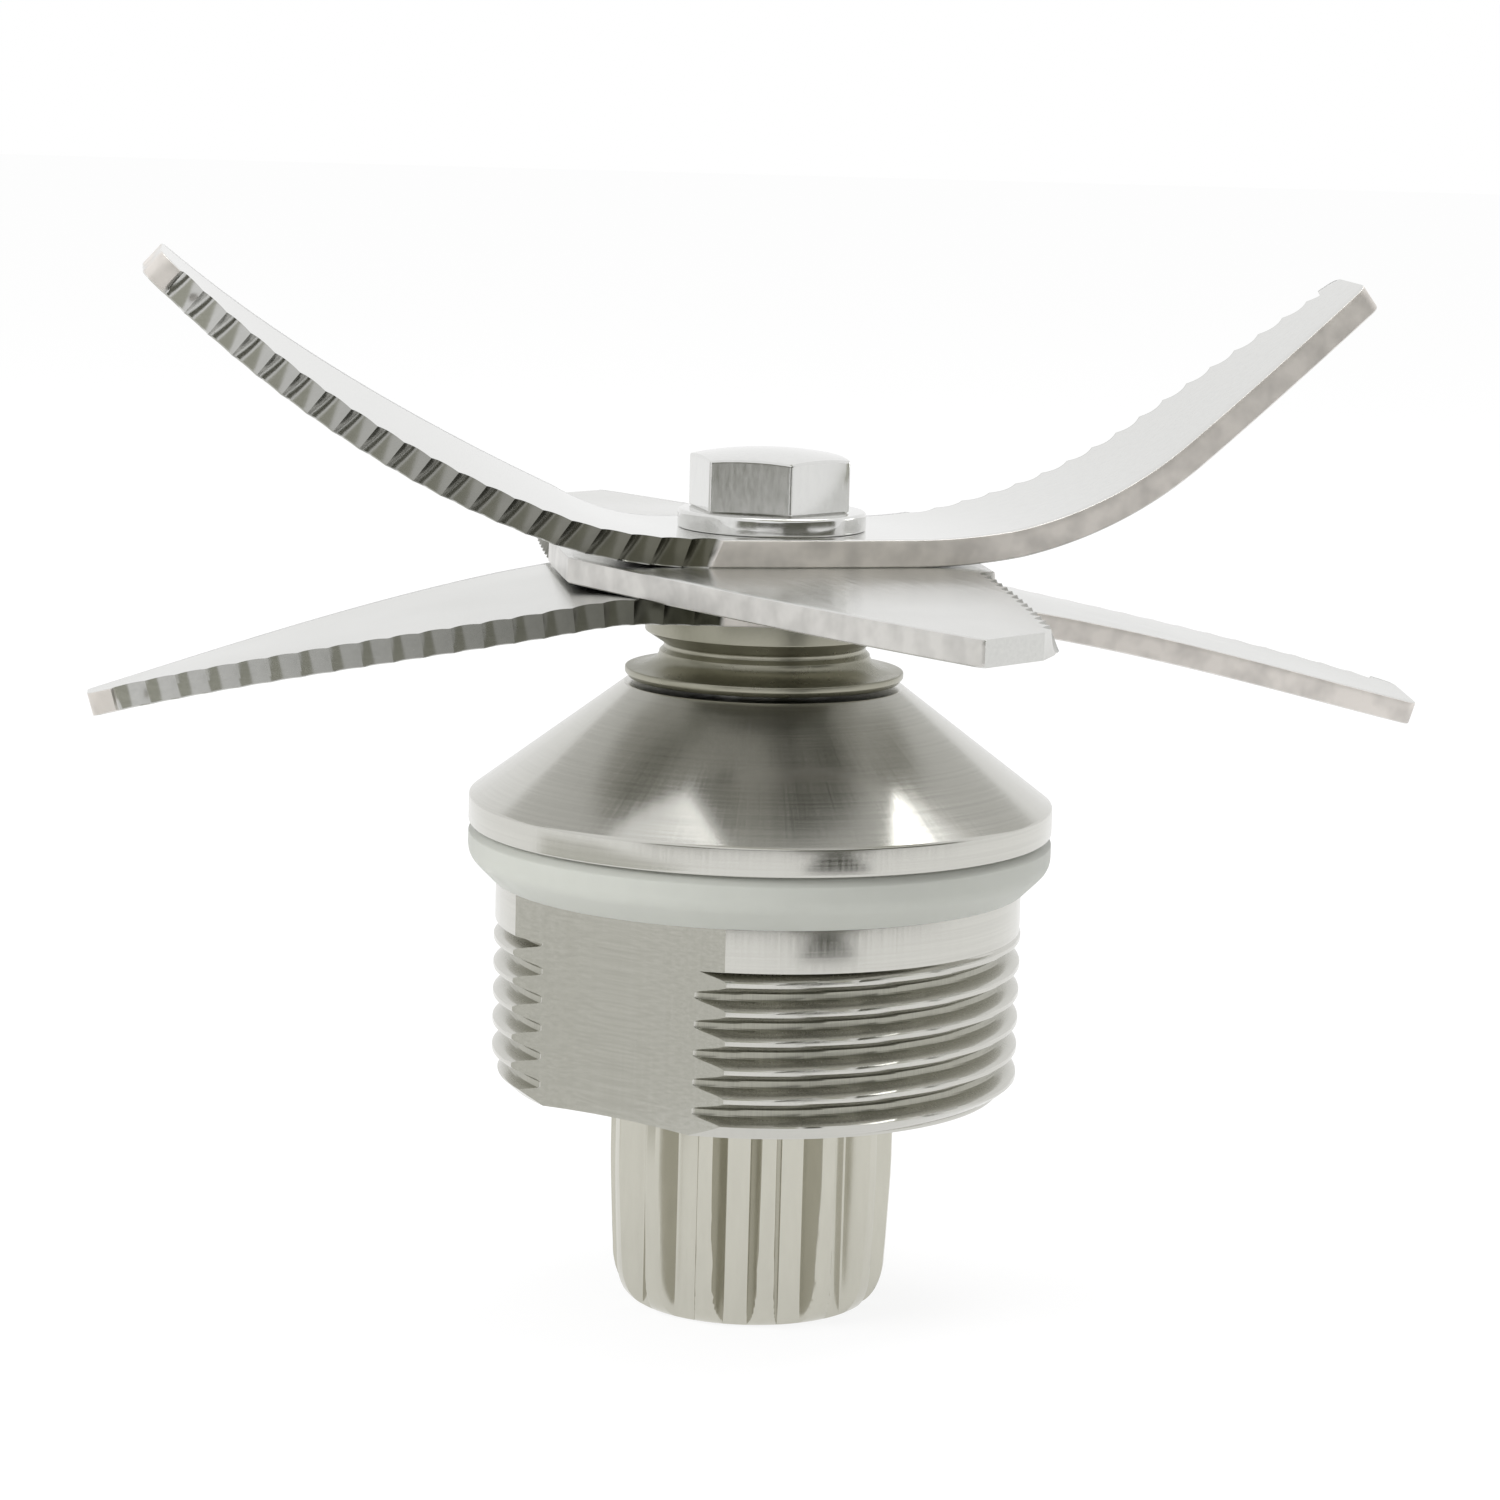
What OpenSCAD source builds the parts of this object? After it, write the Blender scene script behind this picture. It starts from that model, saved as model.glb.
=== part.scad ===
// Blade assembly of a kitchen blender: three stacked cutter blades on a ball-bearing spindle in a
// threaded housing, driven from below by a splined coupling. Millimetres, Z up. The origin is the
// centre of the coupling's flat bottom face. All turned pieces share the Z axis.

/* [Drive coupling] */
// Length of the coupling below the housing
coupling_length = 15.8; // [12:0.1:22]
// Outer radius over the spline teeth
spline_r = 10.1; // [9.4:0.05:10.6]
// Radius of the groove floors between the teeth
spline_root_r = 8.4; // [8.1:0.05:8.8]
// Number of spline teeth
spline_teeth = 14; // [10:1:18]
// Width of a tooth at its tip
tooth_tip_w = 1.0; // [0.6:0.05:1.4]
// Width of a groove floor
groove_floor_w = 1.6; // [1.2:0.05:1.9]
// Radius of the flat bottom face
coupling_foot_r = 7.9; // [7:0.05:8]
// Height of the rounded lead-in at the bottom
lead_in_h = 3.3; // [2:0.1:4]
// Radius of the boss that meets the shaft circlip
coupling_boss_r = 6.4; // [6:0.1:8]
// Thickness of the closed bottom under the shaft
coupling_floor_t = 3.2; // [2:0.1:5]

/* [Bearing housing] */
// Crest radius of the outer thread
thread_r = 18.68; // [18.62:0.01:19]
// Depth of the thread
thread_depth = 1.13; // [0.8:0.01:1.2]
// Pitch of the thread
thread_pitch = 2.0; // [1.5:0.05:2.2]
// Height of the threaded stretch
thread_h = 11.6; // [10:0.1:14]
// Radius of the plain neck above the thread
neck_r = 18.6; // [18.3:0.02:18.62]
// Height of the plain neck
neck_h = 3.0; // [2:0.1:4]
// Distance of each spanner flat from the axis
flat_distance = 16.3; // [16.2:0.05:16.8]
// Radius of the rim and of the foot of the cone
rim_r = 20.6; // [20:0.1:22]
// Height of the rim band
rim_h = 2.0; // [1.5:0.1:3]
// Height of the cone
cone_h = 8.1; // [7.5:0.1:9]
// Radius of the cone's top face
cone_top_r = 9.85; // [9:0.05:11]
// Radius of the hole that the shaft leaves by
shaft_hole_r = 5.6; // [5.3:0.1:6.5]
// Chamfer round the bottom edge
housing_chamfer = 0.75; // [0.4:0.05:1]
// Depth of plain bore under the internal circlip
bore_lip = 1.5; // [1:0.1:2.5]

/* [Seals] */
// Height of the jar seal
jar_seal_h = 3.9; // [3:0.1:4.5]
// Radial width of the groove that the jar seal sits in
jar_seal_w = 4.5; // [4.4:0.05:5.2]
// Outer diameter of the lip seal
lip_seal_od = 20; // [18:0.5:22]
// Width of the lip seal
lip_seal_w = 5; // [4.5:0.1:5.4]
// Wire radius of the garter spring
garter_r = 0.4; // [0.3:0.05:0.5]

/* [Ball bearings] */
// Bore of both bearings, which is the shaft diameter
bearing_bore = 10; // [9.6:0.1:10.4]
// Outer diameter of both bearings
bearing_od = 26; // [25:0.5:28]
// Width of each bearing
bearing_w = 8; // [7:0.5:9]
// Ball diameter
ball_d = 4.76; // [4.2:0.01:4.9]
// Number of balls in each bearing
ball_count = 7; // [6:1:8]
// Width of the spacers between the two bearings
spacer_w = 1.0; // [0.6:0.1:2]

/* [Circlips] */
// Thickness of the internal circlip
housing_circlip_t = 1.2; // [1:0.1:1.3]
// Thickness of the two shaft circlips
shaft_circlip_t = 1.0; // [0.8:0.1:1.2]

/* [Slinger and shaft] */
// Gap between the cone and the slinger
slinger_gap = 0.35; // [0.3:0.05:0.8]
// Rim radius of the slinger
slinger_r = 9.8; // [9:0.05:11]
// Total height of the slinger
slinger_h = 5.4; // [5:0.1:7]
// Radius of the slinger's waist
slinger_waist_r = 7.1; // [6.8:0.05:7.6]
// Radius of the slinger's collar under the blades
collar_r = 8.45; // [8:0.05:9]
// Radius of the shaft's upper spigot
spigot_r = 4.5; // [4.3:0.05:4.6]
// Half the width across the spigot's two flats
spigot_flat = 3.75; // [3.6:0.05:4]

/* [Bolt and washer] */
// Thread diameter of the bolt
bolt_d = 6; // [5:0.1:6.2]
// Length of the bolt under its head
bolt_length = 16; // [12:0.5:18]
// Width of the hexagon head across its flats
hex_af = 10.1; // [9:0.1:11]
// Height of the hexagon head
hex_h = 4.3; // [3.5:0.1:5]
// Radius of the washer
washer_r = 6.6; // [6:0.1:7.5]
// Thickness of the washer
washer_t = 1.3; // [1:0.1:2]

/* [Blades] */
// Thickness of the top blade
top_t = 1.9; // [1.5:0.05:2.2]
// Thickness of the middle blade
middle_t = 1.75; // [1.5:0.05:2.2]
// Thickness of the bottom blade
bottom_t = 1.6; // [1.4:0.05:2.2]
// Arc length of each top wing from the axis
top_length = 47.6; // [42:0.2:52]
// Length of each middle wing from the axis
middle_length = 44.6; // [40:0.2:50]
// Arc length of each bottom wing from the axis
bottom_length = 48.0; // [42:0.2:52]
// Half-width of the top blade at the axis
top_hub_w = 8.3; // [7.5:0.1:10]
// Half-width of the middle blade at the axis
middle_hub_w = 14.7; // [12:0.1:16]
// Half-width of the bottom blade at the axis
bottom_hub_w = 14.1; // [12:0.1:16]
// Half-width of the top blade at its tips
top_tip_w = 2.85; // [2.2:0.05:4]
// Half-width of the middle blade at its tips
middle_tip_w = 2.9; // [2.2:0.05:4]
// Half-width of the bottom blade at its tips
bottom_tip_w = 3.3; // [2.2:0.05:4]
// Width of the ground band along a leading edge
grind_w = 1.3; // [0.8:0.05:1.6]
// Pitch of the scallops ground into a leading edge
scallop_pitch = 2.05; // [1.6:0.05:2.6]

/* [Hidden] */
$fn = 96;
over = 1;
fit_gap = 0.02;
// Least wall between the jar seal's groove and the bearing bore
seal_seat_wall_t = 2;
jar_seal_seat_r = max(rim_r - jar_seal_w, bearing_od / 2 + seal_seat_wall_t);
jar_seal_gap = 0.3;
seal_low_round_share = 0.44;
seal_high_round_share = 0.16;
edge_round = 0.3;
steel = [0.80, 0.80, 0.78];
bright_steel = [0.86, 0.86, 0.84];
olive_steel = [0.63, 0.62, 0.54];
dark_steel = [0.36, 0.37, 0.37];
silicone = [0.78, 0.80, 0.78];
black_rubber = [0.13, 0.13, 0.13];
nylon = [0.86, 0.83, 0.74];

// Heights of the housing
z_housing = coupling_length;
z_neck = z_housing + thread_h;
z_jar_seal = z_neck + neck_h;
z_rim = z_jar_seal + jar_seal_h;
z_cone = z_rim + rim_h;
z_cone_top = z_cone + cone_h;

// Bore of the housing, from the bottom up
bore_r = bearing_od / 2;
z_housing_circlip = z_housing + bore_lip;
z_lower_bearing = z_housing_circlip + housing_circlip_t;
z_upper_bearing = z_lower_bearing + bearing_w + spacer_w;
z_bore_top = z_upper_bearing + bearing_w;
pocket_r = lip_seal_od / 2;
z_lip_seal = z_bore_top + shaft_circlip_t;
z_pocket_top = z_lip_seal + lip_seal_w;
circlip_groove_depth = 0.65;
spanner_flat_azimuth = -125.2;
thread_crest_w = 0.3;
thread_root_w = 0.35;
thread_turns = floor(thread_h / thread_pitch);

// Shaft, slinger and blade stack
shaft_r = bearing_bore / 2;
z_shaft_circlip_low = z_lower_bearing - shaft_circlip_t;
z_shaft_circlip_high = z_bore_top;
shaft_groove_depth = 0.2;
shaft_chamfer = 0.5;
z_slinger = z_cone_top + slinger_gap;
slinger_recess = 1.15;
slinger_rim_share = 0.65;
collar_h_share = 0.38;
z_shaft_shoulder = z_slinger + slinger_recess;
z_bottom_blade = z_slinger + slinger_h;
z_middle_blade = z_bottom_blade + bottom_t;
z_top_blade = z_middle_blade + middle_t;
z_washer = z_top_blade + top_t;
spigot_below_washer = 0.3;
z_spigot_top = z_washer - spigot_below_washer;
z_bolt_head = z_washer + washer_t;
bolt_r = bolt_d / 2;
bolt_thread_gap = 0.05;
tapped_hole_extra = 1.5;
bolt_chamfer = 0.6;
hex_dome_rise = 0.65;
hex_azimuth = -15;
washer_hole_gap = 0.3;
washer_shift = 0.25;

// Spline
spline_azimuth = -5.5;
tooth_pitch_angle = 360 / spline_teeth;
spline_above_housing = 0.8;
z_spline_top = z_housing + spline_above_housing;
lead_in_round_share = 0.85;
swell_h_share = 3;

// Lip seal
seal_wall_share = 0.16;
seal_wall = seal_wall_share * lip_seal_w;
seal_web_share = 1.25;
seal_lip_share = 0.75;
garter_z_share = 0.68;
garter_z = z_lip_seal + garter_z_share * lip_seal_w;
lip_in_r = shaft_r + seal_lip_share * seal_wall;
lip_out_r = lip_in_r + seal_wall;

// Bearing pieces
pitch_r = (bearing_bore + bearing_od) / 4;
ball_r = ball_d / 2;
race_gap = 0.03;
race_depth_share = 0.8;
inner_race_r = pitch_r - ball_r * race_depth_share;
outer_race_r = pitch_r + ball_r * race_depth_share;
race_chamfer = 0.3;
shield_t = 0.4;
shield_inset = 0.3;
shield_gap = 0.25;
cage_half_w = 1.0;
cage_floor = 0.62;
cage_above = 0.8;
cage_gap = 0.07;
circlip_ring_w = 1.5;
circlip_lug_r = 1.15;
circlip_eye_r = 0.5;
circlip_lug_angle = 16;

// Blades. Each wing is [flat length, bend length, angle after the bend, angle at the tip,
// twist at the tip, bow of the twist, start of the scallops]
top_azimuth = 13.2;
middle_azimuth = -69;
bottom_azimuth = 10.1;
top_bulge = 1.09;
middle_bulge = 0.8;
bottom_bulge = 1.3;
twist_ramp = 8;
top_left_flat = 6.4;
top_left_bend = 7.6;
top_right_flat = 8.1;
top_right_bend = 22;
bottom_flat = 9.7;
bottom_bend = 4.2;
near_scallop_start = 5;
far_scallop_start = 12;
plain_tip = 1.6;
top_left = [top_left_flat, top_left_bend, 20.8, 42.2, 6.7, 0.95, near_scallop_start];
top_right = [top_right_flat, top_right_bend, 37.8, 37.8, 3.1, 0.95, far_scallop_start];
middle_wing = [middle_length, over, 0, 0, 0, 0, far_scallop_start];
bottom_left = [bottom_flat, bottom_bend, 10.5, 15.4, -5.8, -0.51, near_scallop_start];
bottom_right = [bottom_flat, bottom_bend, 10.5, 15.4, 5.8, -0.51, far_scallop_start];
middle_corner_cut = 3.1;
middle_corner_angle = 27;
stations_per_scallop = 4;
scallop_shares = [0.35, 0.85, 1.0, 0.85];
bevel_mid_share = 0.42;
bevel_edge_share = 0.86;
bevel_hollow_share = 0.7;

// Slope of a wing, in degrees, at arc length s
function wing_slope(wing, length, s) =
    s < wing[0] ? 0 :
    s < wing[0] + wing[1] ? wing[2] * (s - wing[0]) / wing[1] :
    wing[2] + (wing[3] - wing[2]) * (s - wing[0] - wing[1]) / (length - wing[0] - wing[1]);

// Twist of a wing, in degrees, at arc length s: none over the flat part, where the blades lie
// on each other
function wing_turn(wing, length, s) =
    let (
        past = max(0, s - wing[0]),
        share = past / (length - wing[0] + fit_gap)
    )
    wing[4] * min(1, past / twist_ramp) * (share + wing[5] * 4 * share * (1 - share));

// Places [distance out, height] along a wing's centre line, one for each station
function wing_line(wing, length, count, rise) =
    let (ds = length / count)
    [for (i = 0, p = [0, 0]; i <= count; p = p + ds * [cos(wing_slope(wing, length, (i + 0.5) * ds)),
        rise * sin(wing_slope(wing, length, (i + 0.5) * ds))], i = i + 1) p];

// Width that the grinding takes off the leading edge at station i
function grind_at(wing, length, count, i) =
    let (s = i * length / count)
    s < wing[6] || s > length - plain_tip ? 0 : grind_w * scallop_shares[i % stations_per_scallop];

// One section across a wing: eight points, from the back edge over the bottom to the front edge
function wing_section(wing, length, count, i, p, side, rise, azimuth, hub_w, tip_w, bulge, t) =
    let (
        u = i / count,
        slope = wing_slope(wing, length, u * length),
        turn = wing_turn(wing, length, u * length),
        half = hub_w + (tip_w - hub_w) * u + bulge * 4 * u * (1 - u),
        ground = grind_at(wing, length, count, i),
        out = side * [cos(azimuth), sin(azimuth), 0],
        across = [-sin(azimuth), cos(azimuth), 0],
        normal = -rise * sin(slope) * out + [0, 0, cos(slope)],
        b = cos(turn) * across + sin(turn) * normal,
        n = -sin(turn) * across + cos(turn) * normal,
        centre = p[0] * out + [0, 0, p[1] + t],
        back = side > 0 ? ground : 0,
        front = side > 0 ? 0 : ground
    )
    [
        centre + (half - back) * b,
        centre + (half - back * bevel_hollow_share) * b - bevel_mid_share * t * n,
        centre + half * b - bevel_edge_share * t * n,
        centre + half * b - t * n,
        centre - half * b - t * n,
        centre - half * b - bevel_edge_share * t * n,
        centre - (half - front * bevel_hollow_share) * b - bevel_mid_share * t * n,
        centre - (half - front) * b
    ];

// A blade lofted from the left tip over the hub to the right tip
module wing_pair(left, right, length, rise, azimuth, hub_w, tip_w, bulge, t) {
    count = round(length / scallop_pitch) * stations_per_scallop;
    left_line = wing_line(left, length, count, rise);
    right_line = wing_line(right, length, count, rise);
    sections = concat(
        [for (i = [count:-1:1])
            wing_section(left, length, count, i, left_line[i], -1, rise, azimuth, hub_w, tip_w, bulge, t)],
        [for (i = [0:count])
            wing_section(right, length, count, i, right_line[i], 1, rise, azimuth, hub_w, tip_w, bulge, t)]
    );
    m = len(sections[0]);
    last = len(sections) - 1;
    sides = [for (k = [0:last - 1], j = [0:m - 1], half = [0, 1])
        let (a = k * m + j, b = k * m + (j + 1) % m, c = b + m, d = a + m)
        half == 0 ? [a, b, c] : [a, c, d]];
    caps = [[for (j = [m - 1:-1:0]) j], [for (j = [0:m - 1]) last * m + j]];
    polyhedron(points = [for (s = sections) each s], faces = concat(sides, caps), convexity = 8);
}

// Hole with two flats that fits the spigot
module spigot_hole(z, t) {
    translate([0, 0, z - over])
        linear_extrude(height = t + 2 * over)
            intersection() {
                circle(r = spigot_r + fit_gap);
                square([2 * (spigot_flat + fit_gap), 4 * spigot_r], center = true);
            }
}

// A ring of rectangular section
module ring(inner, outer, z, h) {
    translate([0, 0, z])
        rotate_extrude()
            translate([inner, 0])
                square([outer - inner, h]);
}

// Bolt: hexagon head with a domed top, and a plain shank for the fine thread
module hex_bolt() {
    head_r = hex_af / sqrt(3);
    dome_r = (head_r * head_r + hex_dome_rise * hex_dome_rise) / (2 * hex_dome_rise);
    color(bright_steel)
        union() {
            intersection() {
                translate([0, 0, z_bolt_head])
                    rotate([0, 0, hex_azimuth])
                        cylinder(r = head_r, h = hex_h + over, $fn = 6);
                translate([0, 0, z_bolt_head + hex_h - dome_r])
                    sphere(r = dome_r);
            }
            translate([0, 0, z_bolt_head - bolt_length])
                rotate_extrude()
                    polygon([
                        [0, 0],
                        [bolt_r - bolt_chamfer, 0],
                        [bolt_r - bolt_thread_gap, bolt_chamfer],
                        [bolt_r - bolt_thread_gap, bolt_length + edge_round],
                        [0, bolt_length + edge_round]
                    ]);
        }
}

// Washer: it lies a little to one side, as far as its hole lets it
module bolt_washer() {
    color(bright_steel)
        translate([washer_shift, 0, z_washer])
            rotate_extrude()
                polygon([
                    [bolt_r + washer_hole_gap, 0],
                    [washer_r, 0],
                    [washer_r, washer_t - edge_round],
                    [washer_r - edge_round, washer_t],
                    [bolt_r + washer_hole_gap, washer_t]
                ]);
}

module top_blade() {
    color(bright_steel)
        difference() {
            translate([0, 0, z_top_blade])
                wing_pair(top_left, top_right, top_length, 1, top_azimuth, top_hub_w, top_tip_w,
                    top_bulge, top_t);
            spigot_hole(z_top_blade, top_t);
        }
}

// Middle blade: flat, with the leading corner of each tip cut off
module middle_blade() {
    color(steel)
        difference() {
            translate([0, 0, z_middle_blade])
                wing_pair(middle_wing, middle_wing, middle_length, 1, middle_azimuth, middle_hub_w,
                    middle_tip_w, middle_bulge, middle_t);
            spigot_hole(z_middle_blade, middle_t);
            for (end = [0, 180])
                rotate([0, 0, middle_azimuth + end])
                    translate([middle_length - middle_corner_cut, middle_tip_w, z_middle_blade - over])
                        rotate([0, 0, middle_corner_angle])
                            translate([0, -middle_hub_w, 0])
                                cube([middle_length, 2 * middle_hub_w, middle_t + 2 * over]);
        }
}

module bottom_blade() {
    color(steel)
        difference() {
            translate([0, 0, z_bottom_blade])
                wing_pair(bottom_left, bottom_right, bottom_length, -1, bottom_azimuth, bottom_hub_w,
                    bottom_tip_w, bottom_bulge, bottom_t);
            spigot_hole(z_bottom_blade, bottom_t);
        }
}

// Slinger: throws liquid off the seal, and its collar carries the blades
module slinger() {
    rim_edge_h = slinger_rim_share * slinger_recess;
    flare_h = slinger_recess + rim_edge_h;
    waist_h = flare_h + edge_round;
    collar_z = slinger_h - collar_h_share * slinger_h;
    flare_r = slinger_waist_r + edge_round;
    color(olive_steel)
        translate([0, 0, z_slinger])
            rotate_extrude()
                polygon(concat(
                    [
                        [shaft_r + fit_gap, 0],
                        [slinger_r - edge_round, 0],
                        [slinger_r, rim_edge_h / 2],
                        [slinger_r, rim_edge_h]
                    ],
                    [for (a = [15:15:75])
                        [slinger_r - (slinger_r - flare_r) * sin(a),
                            flare_h - (flare_h - rim_edge_h) * cos(a)]],
                    [
                        [flare_r, flare_h],
                        [slinger_waist_r, waist_h],
                        [slinger_waist_r, waist_h + edge_round],
                        [collar_r, collar_z],
                        [collar_r, slinger_h],
                        [spigot_r + fit_gap, slinger_h],
                        [spigot_r + fit_gap, slinger_recess],
                        [shaft_r + fit_gap, slinger_recess]
                    ]
                ));
}

// Shaft: journals for the bearings and the seal, circlip grooves, and a spigot with two flats
module drive_shaft() {
    groove_r = shaft_r - shaft_groove_depth;
    hole_depth = z_spigot_top - (z_bolt_head - bolt_length) + tapped_hole_extra;
    color(bright_steel)
        difference() {
            rotate_extrude()
                polygon([
                    [0, coupling_floor_t],
                    [shaft_r - shaft_chamfer, coupling_floor_t],
                    [shaft_r, coupling_floor_t + shaft_chamfer],
                    [shaft_r, z_shaft_circlip_low - fit_gap],
                    [groove_r, z_shaft_circlip_low - fit_gap],
                    [groove_r, z_lower_bearing],
                    [shaft_r, z_lower_bearing],
                    [shaft_r, z_shaft_circlip_high],
                    [groove_r, z_shaft_circlip_high],
                    [groove_r, z_lip_seal + fit_gap],
                    [shaft_r, z_lip_seal + fit_gap],
                    [shaft_r, z_shaft_shoulder],
                    [spigot_r, z_shaft_shoulder],
                    [spigot_r, z_spigot_top - edge_round],
                    [spigot_r - edge_round, z_spigot_top],
                    [0, z_spigot_top]
                ]);
            for (side = [0, 180])
                rotate([0, 0, side])
                    translate([spigot_flat, -shaft_r - over, z_bottom_blade])
                        cube([shaft_r, 2 * (shaft_r + over), z_washer]);
            translate([0, 0, z_spigot_top - hole_depth])
                cylinder(r = bolt_r, h = hole_depth + over);
        }
}

// Section of the housing's outside, from the bottom edge to the cone's top
function thread_points() =
    let (root = thread_r - thread_depth, flank = (thread_pitch - thread_crest_w - thread_root_w) / 2)
    [for (k = [thread_turns:-1:1])
        let (crest = z_neck - (k - 0.5) * thread_pitch)
        each [
            [root, crest - thread_crest_w / 2 - flank],
            [thread_r, crest - thread_crest_w / 2],
            [thread_r, crest + thread_crest_w / 2],
            [root, crest + thread_crest_w / 2 + flank]
        ]];

// Housing: one turned piece with a threaded neck, a rim, a cone and a stepped bore
module bearing_housing() {
    root = thread_r - thread_depth;
    foot_r = root - edge_round;
    color(steel)
        difference() {
            rotate_extrude()
                polygon(concat(
                    [
                        [shaft_hole_r, z_housing],
                        [foot_r, z_housing],
                        [foot_r + housing_chamfer, z_housing + housing_chamfer],
                        [foot_r + housing_chamfer, z_housing + housing_chamfer + thread_crest_w],
                        [root, z_housing + 2 * housing_chamfer]
                    ],
                    thread_points(),
                    [
                        [neck_r, z_neck],
                        [neck_r, z_jar_seal],
                        [jar_seal_seat_r, z_jar_seal],
                        [jar_seal_seat_r, z_rim],
                        [rim_r - edge_round, z_rim],
                        [rim_r, z_rim + edge_round],
                        [rim_r, z_cone - edge_round],
                        [rim_r - edge_round, z_cone],
                        [cone_top_r, z_cone_top],
                        [shaft_hole_r, z_cone_top]
                    ]
                ));
            ring(0, bore_r, z_housing - over, z_bore_top - z_housing + over);
            ring(0, bore_r + circlip_groove_depth, z_housing_circlip - fit_gap, housing_circlip_t + fit_gap);
            ring(0, pocket_r, z_bore_top - over, z_pocket_top - z_bore_top + over);
            for (side = [0, 180])
                rotate([0, 0, spanner_flat_azimuth + side])
                    translate([flat_distance, -rim_r, z_housing - over])
                        cube([rim_r, 2 * rim_r, z_jar_seal - z_housing + 2 * over]);
        }
}

// Jar seal: a silicone ring with a bulging outer side
module jar_seal() {
    inner = jar_seal_seat_r + jar_seal_gap;
    low_r = min(seal_low_round_share * jar_seal_h, (rim_r - inner) / 2);
    high_r = min(seal_high_round_share * jar_seal_h, (rim_r - inner) / 2);
    top = jar_seal_h - 2 * fit_gap;
    color(silicone)
        translate([0, 0, z_jar_seal + fit_gap])
            rotate_extrude()
                union() {
                    translate([inner, 0])
                        square([rim_r - low_r - inner, top]);
                    translate([inner, low_r])
                        square([rim_r - inner, top - low_r - high_r]);
                    translate([inner, low_r])
                        square([rim_r - high_r - inner, top - low_r]);
                    translate([rim_r - low_r, low_r])
                        circle(r = low_r);
                    translate([rim_r - high_r, top - high_r])
                        circle(r = high_r);
                }
}

// Lip seal: its open side faces up to the jar, and the garter spring lies behind the lip
module lip_seal() {
    web_t = seal_web_share * seal_wall;
    arm_top = lip_seal_w - seal_wall;
    color(black_rubber)
        translate([0, 0, z_lip_seal])
            rotate_extrude()
                difference() {
                    polygon([
                        [lip_out_r, 0],
                        [pocket_r - fit_gap, 0],
                        [pocket_r - fit_gap, lip_seal_w],
                        [pocket_r - seal_wall, lip_seal_w],
                        [pocket_r - seal_wall, web_t],
                        [lip_out_r + seal_wall, web_t],
                        [lip_out_r + garter_r / 2, 2 * seal_wall],
                        [lip_out_r + garter_r / 2, arm_top],
                        [lip_in_r, arm_top],
                        [shaft_r + fit_gap, garter_z - z_lip_seal],
                        [lip_in_r, 2 * web_t],
                        [lip_in_r, seal_wall]
                    ]);
                    translate([lip_out_r + garter_r, garter_z - z_lip_seal])
                        circle(r = garter_r + fit_gap);
                }
}

// Garter spring: the fine coils are one closed ring
module garter_spring() {
    color(dark_steel)
        translate([0, 0, garter_z])
            rotate_extrude()
                translate([lip_out_r + garter_r, 0])
                    circle(r = garter_r);
}

module race_section(inner, outer, groove_from) {
    difference() {
        polygon([
            [inner + race_chamfer, 0],
            [outer - race_chamfer, 0],
            [outer, race_chamfer],
            [outer, bearing_w - race_chamfer],
            [outer - race_chamfer, bearing_w],
            [inner + race_chamfer, bearing_w],
            [inner, bearing_w - race_chamfer],
            [inner, race_chamfer]
        ]);
        translate([groove_from, bearing_w / 2])
            circle(r = ball_r + race_gap);
    }
}

module outer_race(z) {
    color(bright_steel)
        translate([0, 0, z])
            rotate_extrude()
                race_section(outer_race_r, bore_r - fit_gap, pitch_r);
}

module inner_race(z) {
    color(bright_steel)
        translate([0, 0, z])
            rotate_extrude()
                race_section(shaft_r + fit_gap, inner_race_r, pitch_r);
}

module ball_ring(z, r) {
    for (k = [0:ball_count - 1])
        rotate([0, 0, k * 360 / ball_count])
            translate([pitch_r, 0, z + bearing_w / 2])
                sphere(r = r);
}

module balls(z) {
    color(bright_steel)
        ball_ring(z, ball_r);
}

// Crown cage: a nylon ring with a snap-in pocket for each ball
module ball_cage(z) {
    low = bearing_w / 2 - ball_r - cage_floor;
    color(nylon)
        difference() {
            ring(pitch_r - cage_half_w, pitch_r + cage_half_w, z + low, ball_r + cage_floor + cage_above);
            ball_ring(z, ball_r + cage_gap);
        }
}

module shield(z) {
    color(steel)
        ring(inner_race_r + shield_gap, outer_race_r - fit_gap, z, shield_t);
}

module upper_outer_race() { outer_race(z_upper_bearing); }
module upper_inner_race() { inner_race(z_upper_bearing); }
module upper_balls() { balls(z_upper_bearing); }
module upper_ball_cage() { ball_cage(z_upper_bearing); }
module upper_top_shield() { shield(z_upper_bearing + bearing_w - shield_inset - shield_t); }
module upper_bottom_shield() { shield(z_upper_bearing + shield_inset); }
module lower_outer_race() { outer_race(z_lower_bearing); }
module lower_inner_race() { inner_race(z_lower_bearing); }
module lower_balls() { balls(z_lower_bearing); }
module lower_ball_cage() { ball_cage(z_lower_bearing); }
module lower_top_shield() { shield(z_lower_bearing + bearing_w - shield_inset - shield_t); }
module lower_bottom_shield() { shield(z_lower_bearing + shield_inset); }

// Spacers that keep the two bearings apart
module outer_spacer() {
    color(steel)
        ring(outer_race_r + race_chamfer, bore_r - fit_gap, z_lower_bearing + bearing_w, spacer_w);
}

module inner_spacer() {
    color(steel)
        ring(shaft_r + fit_gap, inner_race_r - race_chamfer, z_lower_bearing + bearing_w, spacer_w);
}

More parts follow.
